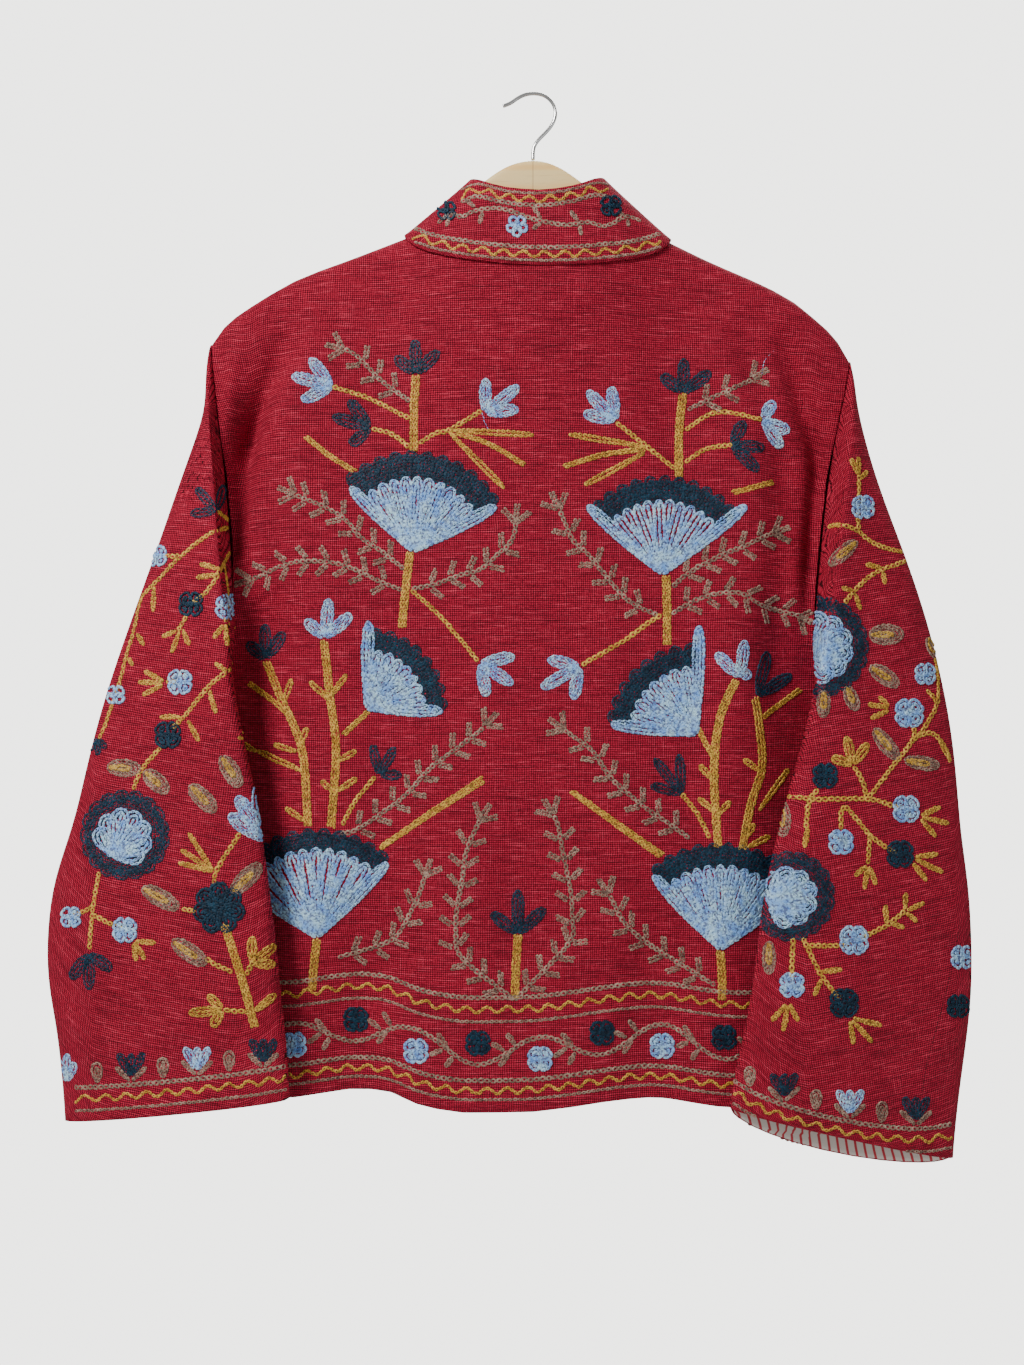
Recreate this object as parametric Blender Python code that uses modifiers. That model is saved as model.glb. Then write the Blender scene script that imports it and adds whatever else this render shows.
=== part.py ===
"""A suzani jacket on a wooden hanger, hung from the hanger's wire hook.

Metres, +Z up. The origin is the inside of the hook's bend, where a peg carries it. The jacket's back
faces -Y and its two fronts face +Y, so the wearer's left is at -X.

Every panel is a grid of rows and columns whose points are worked out from the jacket's sizes, given
its thickness by Solidify. Panels that meet share one seam line and stop half a gap short of it.
"""

from collections import namedtuple
import math

import bmesh
import bpy
import numpy as np

# Cloth
WALL = 0.0014
COLLAR_WALL = 0.0018
FACING_WALL = 0.0008
SEAM_GAP = 0.0006
HALF_GAP = SEAM_GAP / 2
SLEEVE_GAP = 0.0008

# Shoulder lines, from the shoulder tip to the neck, lying over the hanger
Seam = namedtuple("Seam", "x z")
LEFT_SHOULDER = (
    Seam(-0.2400, -0.1875),
    Seam(-0.2290, -0.1725),
    Seam(-0.2160, -0.1628),
    Seam(-0.1970, -0.1507),
    Seam(-0.1750, -0.1387),
    Seam(-0.1370, -0.1245),
    Seam(-0.0940, -0.1080),
)
RIGHT_SHOULDER = (
    Seam(0.2363, -0.2002),
    Seam(0.2265, -0.1837),
    Seam(0.2092, -0.1673),
    Seam(0.1930, -0.1545),
    Seam(0.1700, -0.1425),
    Seam(0.1330, -0.1265),
    Seam(0.1010, -0.1110),
)
SHOULDER_SHARES = (0.0, 0.02, 0.06, 0.12, 0.20, 0.30, 0.42, 0.55, 0.68, 0.80, 0.91)

# Neck seam: an ellipse from above that drops at the back and further at the front
NECK_ANGLES = (0.0, 8.0, 16.0, 25.0, 36.0, 48.0, 61.0, 75.0, 90.0)
BACK_NECK_DROP = 0.0265
FRONT_NECK_DROP = 0.072
FRONT_NECK_POWER = 1.5
FRONT_OPENING = 0.006

# Outer edges of the body by the share of the way from shoulder tip to hem. Down to the underarm they
# bound an armhole, open this far either side of middle_y; below it they meet in the side seam.
Edge = namedtuple("Edge", "share left_x right_x middle_y half_open")
UNDERARM_SHARE = 0.369
LEFT_HEM_Z = -0.750
ARMHOLE_TIP_ROLL = 0.025
UNDERARM_ROLL = 0.030
SEAM_HALF_OPEN = 0.0020
SLEEVE_HALF_OPEN = 0.0045
EDGES = (
    Edge(0.000, -0.2400, 0.2363, 0.0000, 0.0105),
    Edge(0.049, -0.2370, 0.2310, 0.0000, 0.0115),
    Edge(0.102, -0.2335, 0.2245, 0.0015, 0.0135),
    Edge(0.191, -0.2280, 0.2170, 0.0025, 0.0145),
    Edge(0.280, -0.2240, 0.2120, 0.0005, 0.0130),
    Edge(0.334, -0.2225, 0.2095, -0.0030, 0.0110),
    Edge(UNDERARM_SHARE, -0.2220, 0.2085, -0.0080, 0.0100),
    Edge(0.410, -0.2270, 0.2135, 0.0000, 0.0100),
    Edge(0.470, -0.2320, 0.2190, 0.0040, 0.0100),
    Edge(0.610, -0.2440, 0.2330, 0.0070, 0.0100),
    Edge(0.770, -0.2540, 0.2430, 0.0080, 0.0100),
    Edge(1.000, -0.2620, 0.2500, 0.0080, 0.0100),
)

# Hem line of the back, as it hangs
HEM = (
    Seam(-0.262, -0.7500),
    Seam(-0.186, -0.7460),
    Seam(-0.141, -0.7415),
    Seam(-0.108, -0.7415),
    Seam(-0.084, -0.7480),
    Seam(-0.045, -0.7530),
    Seam(0.000, -0.7525),
    Seam(0.048, -0.7470),
    Seam(0.085, -0.7460),
    Seam(0.143, -0.7515),
    Seam(0.250, -0.7540),
)
FRONT_HEM_DROP = 0.004
FRONT_HEM_START = 0.050

# How far each layer stands off the hanger's plane, by the distance below the shoulder line
Stand = namedtuple("Stand", "below back_side back_centre front_side front_centre")
STANDS = (
    Stand(0.000, 0.0105, 0.0120, 0.0105, 0.0120),
    Stand(0.012, 0.0115, 0.0265, 0.0115, 0.0180),
    Stand(0.022, 0.0125, 0.0320, 0.0125, 0.0225),
    Stand(0.035, 0.0140, 0.0330, 0.0140, 0.0270),
    Stand(0.072, 0.0185, 0.0305, 0.0175, 0.0335),
    Stand(0.100, 0.0205, 0.0295, 0.0190, 0.0340),
    Stand(0.200, 0.0260, 0.0290, 0.0230, 0.0300),
    Stand(0.400, 0.0270, 0.0310, 0.0260, 0.0270),
    Stand(0.660, 0.0280, 0.0350, 0.0280, 0.0290),
)
CENTRE_HALF_WIDTH = 0.085
SHOULDER_ROLL = 0.010

# How wide a strip of each panel slopes back to its outer edge
Slope = namedtuple("Slope", "share back front")
SIDE_SLOPES = (
    Slope(0.000, 0.045, 0.040),
    Slope(0.369, 0.070, 0.060),
    Slope(0.520, 0.085, 0.070),
    Slope(0.770, 0.095, 0.080),
    Slope(1.000, 0.105, 0.085),
)

# Largest folds: a line down the panel, its half width, and how far it stands out
Fold = namedtuple("Fold", "top_x top_z low_x low_z half_width height")
BACK_FOLDS = (
    Fold(-0.206, -0.190, -0.214, -0.360, 0.013, -0.0060),
    Fold(-0.176, -0.200, -0.190, -0.420, 0.018, 0.0040),
    Fold(0.198, -0.200, 0.208, -0.370, 0.013, -0.0060),
    Fold(0.166, -0.200, 0.176, -0.400, 0.018, 0.0040),
    Fold(0.150, -0.350, 0.152, -0.520, 0.016, 0.0060),
    Fold(-0.128, -0.600, -0.128, -0.800, 0.028, -0.0150),
    Fold(0.084, -0.600, 0.084, -0.800, 0.036, -0.0100),
    Fold(-0.060, -0.480, -0.070, -0.800, 0.030, 0.0030),
)
LEFT_FRONT_FOLDS = (
    Fold(-0.190, -0.240, -0.160, -0.560, 0.022, 0.0045),
    Fold(-0.090, -0.420, -0.080, -0.820, 0.030, -0.0070),
)
RIGHT_FRONT_FOLDS = (
    Fold(0.180, -0.240, 0.150, -0.540, 0.022, 0.0045),
    Fold(0.105, -0.450, 0.110, -0.820, 0.034, -0.0080),
)
FOLD_START = 0.030
FOLD_END = 0.060

# Rows: down the armhole from the shoulder tip, then from the underarm to the hem
ARMHOLE_SHARES = (0.0, 0.009, 0.028, 0.065, 0.12, 0.20, 0.31, 0.44, 0.58, 0.71, 0.82, 0.90, 0.96,
                  0.985, 1.0)
LOWER_SHARES = (0.378, 0.40, 0.44, 0.50, 0.57, 0.64, 0.71, 0.78, 0.85, 0.92, 0.97, 1.0)

# Sleeves: one ring for each row, from its crown (outer) end to its underarm (inner) end
Ring = namedtuple("Ring", "share crown_x crown_z crown_y under_x under_z under_y half_depth")
LEFT_RINGS = (
    Ring(0.00, -0.2400, -0.1875, 0.000, -0.2220, -0.395, -0.008, 0.0240),
    Ring(0.01, -0.2420, -0.1915, -0.001, -0.2235, -0.3985, -0.011, 0.0240),
    Ring(0.03, -0.2432, -0.2030, -0.002, -0.2240, -0.405, -0.018, 0.0240),
    Ring(0.08, -0.2440, -0.2330, -0.004, -0.2225, -0.421, -0.030, 0.0230),
    Ring(0.16, -0.2585, -0.2790, -0.007, -0.2170, -0.449, -0.038, 0.0210),
    Ring(0.25, -0.2745, -0.3280, -0.009, -0.2110, -0.478, -0.041, 0.0200),
    Ring(0.34, -0.2925, -0.3800, -0.011, -0.2040, -0.506, -0.043, 0.0190),
    Ring(0.43, -0.3110, -0.4330, -0.012, -0.1980, -0.536, -0.044, 0.0180),
    Ring(0.52, -0.3270, -0.4880, -0.013, -0.1930, -0.568, -0.045, 0.0175),
    Ring(0.61, -0.3400, -0.5460, -0.013, -0.1885, -0.602, -0.046, 0.0175),
    Ring(0.70, -0.3590, -0.6050, -0.013, -0.1845, -0.639, -0.047, 0.0180),
    Ring(0.78, -0.3600, -0.6530, -0.013, -0.1815, -0.670, -0.048, 0.0180),
    Ring(0.86, -0.3520, -0.7000, -0.013, -0.1785, -0.700, -0.049, 0.0170),
    Ring(0.93, -0.3487, -0.7350, -0.012, -0.1765, -0.720, -0.050, 0.0165),
    Ring(1.00, -0.3466, -0.7644, -0.012, -0.1754, -0.738, -0.050, 0.0165),
)
RIGHT_RINGS = (
    Ring(0.00, 0.2363, -0.2002, 0.000, 0.2085, -0.4046, -0.008, 0.0240),
    Ring(0.01, 0.2378, -0.2045, -0.001, 0.2102, -0.4078, -0.011, 0.0240),
    Ring(0.03, 0.2388, -0.2130, -0.002, 0.2106, -0.4135, -0.018, 0.0240),
    Ring(0.08, 0.2408, -0.2330, -0.004, 0.2088, -0.428, -0.030, 0.0235),
    Ring(0.16, 0.2525, -0.2820, -0.007, 0.2030, -0.451, -0.038, 0.0215),
    Ring(0.25, 0.2700, -0.3310, -0.009, 0.1960, -0.478, -0.041, 0.0205),
    Ring(0.34, 0.2880, -0.3830, -0.011, 0.1880, -0.504, -0.043, 0.0195),
    Ring(0.43, 0.3020, -0.4370, -0.012, 0.1800, -0.533, -0.044, 0.0190),
    Ring(0.52, 0.3115, -0.4930, -0.013, 0.1715, -0.564, -0.045, 0.0190),
    Ring(0.61, 0.3160, -0.5520, -0.013, 0.1650, -0.597, -0.046, 0.0190),
    Ring(0.70, 0.3240, -0.6110, -0.013, 0.1605, -0.634, -0.047, 0.0195),
    Ring(0.78, 0.3245, -0.6640, -0.013, 0.1560, -0.666, -0.048, 0.0195),
    Ring(0.86, 0.3195, -0.7120, -0.013, 0.1500, -0.697, -0.049, 0.0190),
    Ring(0.93, 0.3140, -0.7540, -0.012, 0.1440, -0.721, -0.051, 0.0185),
    Ring(1.00, 0.3107, -0.7919, -0.012, 0.1403, -0.744, -0.052, 0.0180),
)
RING_SHARES = (0.0, 0.010, 0.028, 0.055, 0.09, 0.135, 0.19, 0.25, 0.31, 0.37, 0.43, 0.49, 0.55, 0.61,
               0.67, 0.73, 0.79, 0.85, 0.91, 0.96, 1.0)
FLATNESS = 0.75
FAR_WALL_INNER = 0.45
PUFF_SHARE = 0.085
FAR_PUFF_SHARE = 0.28
CREASE_SHARE = 0.15
FAR_CAP = 0.009
CAP_SHARE = 0.10
SLEEVE_START = 0.020
LEFT_OVERHANG = 0.0040
RIGHT_OVERHANG = 0.0020
OVERHANG_SHARE = 0.34
RIGHT_CUFF_SKEW = 0.020
SKEW_START = 0.40

# Creases of a sleeve's near and far wall, in shares of the sleeve's length and of its ring
Crease = namedtuple("Crease", "share turn half_share half_turn height")
LEFT_CREASES = (
    Crease(0.84, 0.10, 0.050, 0.16, -0.0050),
    Crease(0.70, 0.14, 0.060, 0.12, 0.0035),
    Crease(0.30, 0.33, 0.140, 0.06, -0.0040),
    Crease(0.36, 0.70, 0.080, 0.12, -0.0045),
    Crease(0.62, 0.80, 0.060, 0.14, 0.0040),
)
RIGHT_CREASES = (
    Crease(0.24, 0.30, 0.120, 0.07, -0.0040),
    Crease(0.55, 0.16, 0.080, 0.12, 0.0030),
    Crease(0.80, 0.12, 0.060, 0.10, 0.0030),
    Crease(0.40, 0.72, 0.080, 0.12, -0.0045),
    Crease(0.66, 0.78, 0.060, 0.14, 0.0040),
)

# Striped facing inside the right cuff
FACING_SHARES = (0.9975, 0.985, 0.965, 0.945)

# Collar band: its top edge by the angle round the neck, from the left neck point through the back
CollarTop = namedtuple("CollarTop", "angle x y z")
COLLAR_TOPS = (
    CollarTop(-90.0, -0.0030, 0.0310, -0.1290),
    CollarTop(-60.0, -0.0210, 0.0295, -0.1240),
    CollarTop(-30.0, -0.0390, 0.0230, -0.1020),
    CollarTop(-15.0, -0.0450, 0.0150, -0.0830),
    CollarTop(0.0, -0.0473, 0.0000, -0.0660),
    CollarTop(30.0, -0.0410, -0.0190, -0.0700),
    CollarTop(60.0, -0.0215, -0.0285, -0.0785),
    CollarTop(90.0, 0.0040, -0.0310, -0.0815),
    CollarTop(120.0, 0.0290, -0.0285, -0.0775),
    CollarTop(150.0, 0.0465, -0.0190, -0.0690),
    CollarTop(180.0, 0.0533, 0.0000, -0.0650),
    CollarTop(195.0, 0.0505, 0.0150, -0.0830),
    CollarTop(210.0, 0.0450, 0.0230, -0.1020),
    CollarTop(240.0, 0.0270, 0.0295, -0.1250),
    CollarTop(270.0, 0.0030, 0.0310, -0.1300),
)
COLLAR_ROWS = 4
COLLAR_LAP = 0.0015
COLLAR_LAP_START = 0.024
COLLAR_GAP = 0.0004
NECK_POINT_GAP = 0.0013
NECK_POINT_REACH = 0.035

# Hanger
WOOD_THICK = 0.010
WOOD_EDGE = 0.0038
WOOD_UNDER_CLOTH = 0.0005
WOOD_ARCH = (
    Seam(-0.0980, -0.1180),
    Seam(-0.0800, -0.1030),
    Seam(-0.0600, -0.0850),
    Seam(-0.0350, -0.0640),
    Seam(-0.0180, -0.0530),
    Seam(0.0000, -0.0490),
    Seam(0.0180, -0.0530),
    Seam(0.0350, -0.0650),
    Seam(0.0600, -0.0850),
    Seam(0.0850, -0.1060),
    Seam(0.1050, -0.1210),
)
WOOD_LOWER = (
    Seam(0.2000, -0.1930),
    Seam(0.1600, -0.1740),
    Seam(0.1000, -0.1500),
    Seam(0.0500, -0.1330),
    Seam(0.0000, -0.1270),
    Seam(-0.0500, -0.1310),
    Seam(-0.1000, -0.1470),
    Seam(-0.1600, -0.1690),
    Seam(-0.2000, -0.1850),
)
WOOD_REACH = 0.2000
WOOD_ARCH_REACH = 0.1160
WIRE = 0.0030
HOOK_PATH = (
    Seam(0.0000, -0.0487),
    Seam(0.0000, -0.0440),
    Seam(0.0003, -0.0395),
    Seam(0.0030, -0.0345),
    Seam(0.0085, -0.0295),
    Seam(0.0140, -0.0235),
    Seam(0.0172, -0.0165),
    Seam(0.0168, -0.0095),
    Seam(0.0135, -0.0037),
    Seam(0.0078, 0.0004),
    Seam(0.0000, 0.0015),
    Seam(-0.0070, 0.0002),
    Seam(-0.0125, -0.0030),
    Seam(-0.0170, -0.0066),
    Seam(-0.0225, -0.0084),
)

# Colours and surfaces
Finish = namedtuple("Finish", "colour roughness metallic")
CLOTH_RED = Finish((0.36, 0.012, 0.040, 1.0), 0.85, 0.0)
STRIPED_COTTON = Finish((0.62, 0.45, 0.45, 1.0), 0.80, 0.0)
PALE_WOOD = Finish((0.75, 0.52, 0.28, 1.0), 0.45, 0.0)
BRIGHT_WIRE = Finish((0.70, 0.70, 0.71, 1.0), 0.20, 1.0)


def line(rows, key, column, at):
    """A smooth line through one column of a table, read at one value or an array of its key.

    It never swings past the table's own values, as its slope is level at each highest and lowest one.
    """
    xs = np.array([getattr(row, key) for row in rows], float)
    ys = np.array([getattr(row, column) for row in rows], float)
    if xs[0] > xs[-1]:
        xs, ys = xs[::-1], ys[::-1]
    at = np.clip(np.asarray(at, float), xs[0], xs[-1])
    rises = np.diff(ys) / np.diff(xs)
    before, after = np.append(rises[0], rises), np.append(rises, rises[-1])
    same_way = before * after > 0
    slopes = np.where(same_way, 2 * before * after / np.where(same_way, before + after, 1.0), 0.0)
    cell = np.clip(np.searchsorted(xs, at, side="right") - 1, 0, len(xs) - 2)
    width = xs[cell + 1] - xs[cell]
    t = (at - xs[cell]) / width
    rise = ys[cell] * (2 * t**3 - 3 * t**2 + 1) + ys[cell + 1] * (3 * t**2 - 2 * t**3)
    bend = slopes[cell] * (t**3 - 2 * t**2 + t) + slopes[cell + 1] * (t**3 - t**2)
    return rise + width * bend


def roll(distance, radius):
    """0 at an edge and 1 past the radius, as a quarter of an ellipse."""
    s = np.clip(distance / radius, 0.0, 1.0)
    return np.sqrt(1.0 - (1.0 - s) ** 2)


def ease(value):
    """0 below 0, 1 above 1, and smooth between."""
    s = np.clip(value, 0.0, 1.0)
    return s * s * (3.0 - 2.0 * s)


def fold_height(folds, x, z):
    """How far the folds of a panel stand out at x, z."""
    height = np.zeros_like(x)
    for fold in folds:
        down = (fold.top_z - z) / (fold.top_z - fold.low_z)
        centre = fold.top_x + (fold.low_x - fold.top_x) * down
        across = np.exp(-(((x - centre) / fold.half_width) ** 2))
        end = FOLD_END / (fold.top_z - fold.low_z)
        along = ease(down / end) * ease((1.0 - down) / end)
        height += fold.height * across * along
    return height


def stand_off(x, below, back):
    """How far a body panel stands off the hanger's plane, rolled over the shoulder at its top."""
    side, middle = ("back_side", "back_centre") if back else ("front_side", "front_centre")
    centre = np.exp(-((x / CENTRE_HALF_WIDTH) ** 4))
    stand = line(STANDS, "below", side, below) * (1 - centre)
    stand = stand + line(STANDS, "below", middle, below) * centre
    return stand * roll(below, SHOULDER_ROLL)


def neck_point(angle, back):
    """A point of the neck seam. Angle 0 is the left neck point and 180 degrees the right one."""
    left, right = LEFT_SHOULDER[-1], RIGHT_SHOULDER[-1]
    middle = (left.x + right.x) / 2
    x = middle - (right.x - left.x) / 2 * math.cos(math.radians(angle))
    level = left.z + (right.z - left.z) * (x - left.x) / (right.x - left.x)
    sine = max(math.sin(math.radians(angle)), 0.0)
    drop = BACK_NECK_DROP * sine if back else FRONT_NECK_DROP * sine**FRONT_NECK_POWER
    return x, float(stand_off(x, drop, back)) * (-1.0 if back else 1.0), level - drop


def shoulder_points(shoulder):
    """Points of a shoulder line from its tip to its neck end, without the neck point itself."""
    tip, neck = shoulder[0], shoulder[-1]
    xs = tip.x + (neck.x - tip.x) * np.array(SHOULDER_SHARES)
    return [(x, 0.0, float(line(shoulder, "x", "z", x))) for x in xs]


def back_top():
    """The top edge of the back, from the left shoulder tip to the right one."""
    round_neck = NECK_ANGLES + tuple(180.0 - angle for angle in NECK_ANGLES[-2::-1])
    neck = [neck_point(angle, True) for angle in round_neck]
    return shoulder_points(LEFT_SHOULDER) + neck + shoulder_points(RIGHT_SHOULDER)[::-1]


def front_top(shoulder):
    """The top edge of one front, from its shoulder tip to the centre front."""
    left = shoulder is LEFT_SHOULDER
    neck = [neck_point(angle if left else 180.0 - angle, False) for angle in NECK_ANGLES]
    x, y, z = neck[-1]
    neck[-1] = (-FRONT_OPENING / 2 if left else FRONT_OPENING / 2, y, z)
    return shoulder_points(shoulder) + neck


def edge_y(rows, back, least):
    """Where a panel or sleeve edge lies on the armhole, or on the side seam with least half_open."""
    down = rows * (LEFT_SHOULDER[0].z - LEFT_HEM_Z)
    underarm = UNDERARM_SHARE * (LEFT_SHOULDER[0].z - LEFT_HEM_Z)
    extra = line(EDGES, "share", "half_open", rows) - least
    half_open = (least + extra * roll(underarm - down, UNDERARM_ROLL)) * roll(down, ARMHOLE_TIP_ROLL)
    return line(EDGES, "share", "middle_y", rows) + (-half_open if back else half_open)


def slope_to_sides(distance, y, rows, back):
    """Brings a panel in to the armhole and side seam at its outer columns."""
    outer_y = edge_y(rows, back, SEAM_HALF_OPEN)
    width = line(SIDE_SLOPES, "share", "back" if back else "front", rows)
    return outer_y + (y - outer_y) * ease(distance / width)


def panel(top, back, folds):
    """Points of a body panel as arrays [row, column, xyz], from its top edge down to the hem."""
    top = np.array(top)
    left = top[0, 0] < 0
    shares = (top[:, 0] - top[0, 0]) / (top[-1, 0] - top[0, 0])
    armhole_rows = [share * UNDERARM_SHARE for share in ARMHOLE_SHARES]
    rows = np.array(armhole_rows + list(LOWER_SHARES))[:, None]
    inset_x = np.where(rows <= UNDERARM_SHARE, HALF_GAP, 0.0)
    left_x = line(EDGES, "share", "left_x", rows) + inset_x
    right_x = line(EDGES, "share", "right_x", rows) - inset_x
    near, far = (left_x, right_x) if left else (right_x, left_x)
    far = far if back else top[-1, 0]
    x = near + (far - near) * shares
    distance = np.maximum(np.minimum(x - left_x, right_x - x), 0.0)
    hem_z = line(HEM, "x", "z", x[-1])
    if not back:
        hem_z = hem_z - FRONT_HEM_DROP * ease(distance[-1] / FRONT_HEM_START)
    z = top[:, 2] + (hem_z - top[:, 2]) * rows
    neck_left, neck_right = LEFT_SHOULDER[-1], RIGHT_SHOULDER[-1]
    across = np.clip((top[:, 0] - neck_left.x) / (neck_right.x - neck_left.x), 0.0, 1.0)
    over_neck = (across > 0.0) & (across < 1.0)
    level = np.where(over_neck, neck_left.z + (neck_right.z - neck_left.z) * across, top[:, 2])
    below = level - z
    depth = stand_off(x, below, back)
    depth = depth + fold_height(folds, x, z) * ease((top[:, 2] - z) / FOLD_START)
    side = -1.0 if back else 1.0
    y = slope_to_sides(distance, side * depth, rows, back)
    y = y + side * HALF_GAP * (1 - ease(below / SHOULDER_ROLL))
    return np.stack([x, y, z], axis=-1)


def sleeve(rings, overhang, creases, cuff_skew, shares):
    """Points of a sleeve as arrays [row, point, xyz]: from the underarm over the near wall and back."""
    shares = np.array(shares)[:, None]
    left = rings[0].crown_x < 0
    up = 1 - np.array(ARMHOLE_SHARES)[::-1]
    across = np.concatenate([up, up[-2::-1]])[None, :]
    first_half = np.arange(across.shape[1])[None, :] < len(up)
    sine = 2 * np.sqrt(across * (1 - across))
    turns = np.arccos(1 - 2 * across) / (2 * math.pi)
    turns = np.where(first_half, turns, 1 - turns)
    near, far = np.where(first_half, sine, 0.0), np.where(first_half, 0.0, sine)
    at = {name: line(rings, "share", name, shares) for name in Ring._fields[1:]}
    x = at["under_x"] + (at["crown_x"] - at["under_x"]) * across
    z = at["under_z"] + (at["crown_z"] - at["under_z"]) * across
    chord_y = at["under_y"] + (at["crown_y"] - at["under_y"]) * across
    far_share = FAR_WALL_INNER + (1 - FAR_WALL_INNER) * across
    bulge = (far**FLATNESS * far_share - near**FLATNESS) * at["half_depth"]
    crumple = np.zeros_like(bulge)
    for crease in creases:
        along = ((shares - crease.share) / crease.half_share) ** 2
        around = ((((turns - crease.turn + 0.5) % 1.0) - 0.5) / crease.half_turn) ** 2
        crumple = crumple - np.sign(0.5 - crease.turn) * crease.height * np.exp(-along - around)
    inward = 1.0 if left else -1.0
    cap = roll(shares, CAP_SHARE) * (1 - ease((shares - CAP_SHARE) / CAP_SHARE / 2))
    x = x - inward * FAR_CAP * far**2 * cap
    lap = ease(shares / PUFF_SHARE) * (1 - ease(shares / OVERHANG_SHARE - 0.3))
    x = x + inward * overhang * near * lap
    z = z - cuff_skew * far * ease((shares - SKEW_START) / (1 - SKEW_START))
    edge_rows = (1 - across) * UNDERARM_SHARE
    seam_y = np.where(first_half, edge_y(edge_rows, True, SLEEVE_HALF_OPEN),
                      edge_y(edge_rows, False, SLEEVE_HALF_OPEN))
    seam_y[:, [0, -1]] = rings[0].under_y
    seam_x = line(EDGES, "share", "left_x" if left else "right_x", edge_rows) - inward * SLEEVE_GAP
    settle = np.where(first_half, roll(shares, PUFF_SHARE), ease(shares / FAR_PUFF_SHARE))
    seam_chord = rings[0].under_y + (rings[0].crown_y - rings[0].under_y) * across
    y = chord_y + (seam_y - seam_chord) * (1 - settle) + bulge * settle
    y = y + crumple * ease(shares / CREASE_SHARE)
    x = x + (seam_x - x) * (1 - ease(shares / SLEEVE_START))
    return np.stack([x, y, z], axis=-1)


def collar_top(angle):
    """The point of the collar's top edge over an angle round the neck."""
    return np.array([float(line(COLLAR_TOPS, "angle", name, angle)) for name in ("x", "y", "z")])


def collar():
    """Points of the collar band as arrays [row, column, xyz], round from one centre front to the other."""
    angles = [-angle for angle in NECK_ANGLES[::-1]] + list(NECK_ANGLES[1:])
    angles += [180.0 - angle for angle in angles[-2::-1]]
    rows = []
    for angle in angles:
        if angle < 0.0:
            x, y, z = neck_point(-angle, False)
        elif angle > 180.0:
            x, y, z = neck_point(360.0 - angle, False)
        else:
            x, y, z = neck_point(angle, True)
        if abs(angle - 90.0) > 179.0:
            x = math.copysign(FRONT_OPENING / 2, angle - 90.0)
        low = np.array([x, y, z])
        high = collar_top(angle)
        rows.append([low, high])
    low, high = np.array(rows).transpose(1, 0, 2)
    up = (high - low) / np.linalg.norm(high - low, axis=1, keepdims=True)
    out = np.cross(np.gradient(low, axis=0), up)
    out /= np.linalg.norm(out, axis=1, keepdims=True)
    from_neck_point = np.abs(low[:, 1:2])
    lap = COLLAR_LAP * ease(from_neck_point / COLLAR_LAP_START)
    gap = COLLAR_GAP + NECK_POINT_GAP * (1 - ease(from_neck_point / NECK_POINT_REACH))
    low = low + out * ((COLLAR_WALL + WALL) / 2 + gap) - up * lap
    steps = np.linspace(1.0, 0.0, COLLAR_ROWS + 1)[:, None, None]
    return low + (high - low) * steps


def material(name, finish):
    """A Principled material with one finish."""
    made = bpy.data.materials.new(name)
    made.use_nodes = True
    shader = made.node_tree.nodes["Principled BSDF"]
    shader.inputs["Base Color"].default_value = finish.colour
    shader.inputs["Roughness"].default_value = finish.roughness
    shader.inputs["Metallic"].default_value = finish.metallic
    return made


def cloth(name, points, wall, finish, closed=False):
    """A cloth piece: a grid of the given points, thickened to both sides."""
    rows, columns = points.shape[:2]
    mesh = bpy.data.meshes.new(name)
    sheet = bmesh.new()
    bmesh.ops.create_grid(sheet, x_segments=columns - 1, y_segments=rows - 1, size=1.0)
    for vert in sheet.verts:
        column = round((vert.co.x + 1) / 2 * (columns - 1))
        row = round((1 - vert.co.y) / 2 * (rows - 1))
        vert.co = points[row, column]
    if closed:
        bmesh.ops.remove_doubles(sheet, verts=sheet.verts, dist=0.00001)
    sheet.to_mesh(mesh)
    sheet.free()
    mesh.shade_smooth()
    piece = bpy.data.objects.new(name, mesh)
    jacket.objects.link(piece)
    piece.data.materials.append(material(name + "_finish", finish))
    shell = piece.modifiers.new("thickness", "SOLIDIFY")
    shell.thickness = wall
    shell.offset = 0.0
    shell.use_rim = True
    return piece


def mirror_columns(points):
    """The same points with the columns run the other way, so that the faces point out."""
    return points[:, ::-1]


def inset(points, distance):
    """A ring of rows moved inwards along its own normals."""
    down = np.gradient(points, axis=0)
    ring = points[:, :-1]
    around = np.roll(ring, -1, axis=1) - np.roll(ring, 1, axis=1)
    around = np.concatenate([around, around[:, :1]], axis=1)
    normal = np.cross(around, down)
    normal /= np.linalg.norm(normal, axis=-1, keepdims=True)
    centre = ring.mean(axis=1, keepdims=True)
    outward = np.sign((normal * (points - centre)).sum(axis=-1, keepdims=True))
    return points - normal * outward * distance


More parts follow.
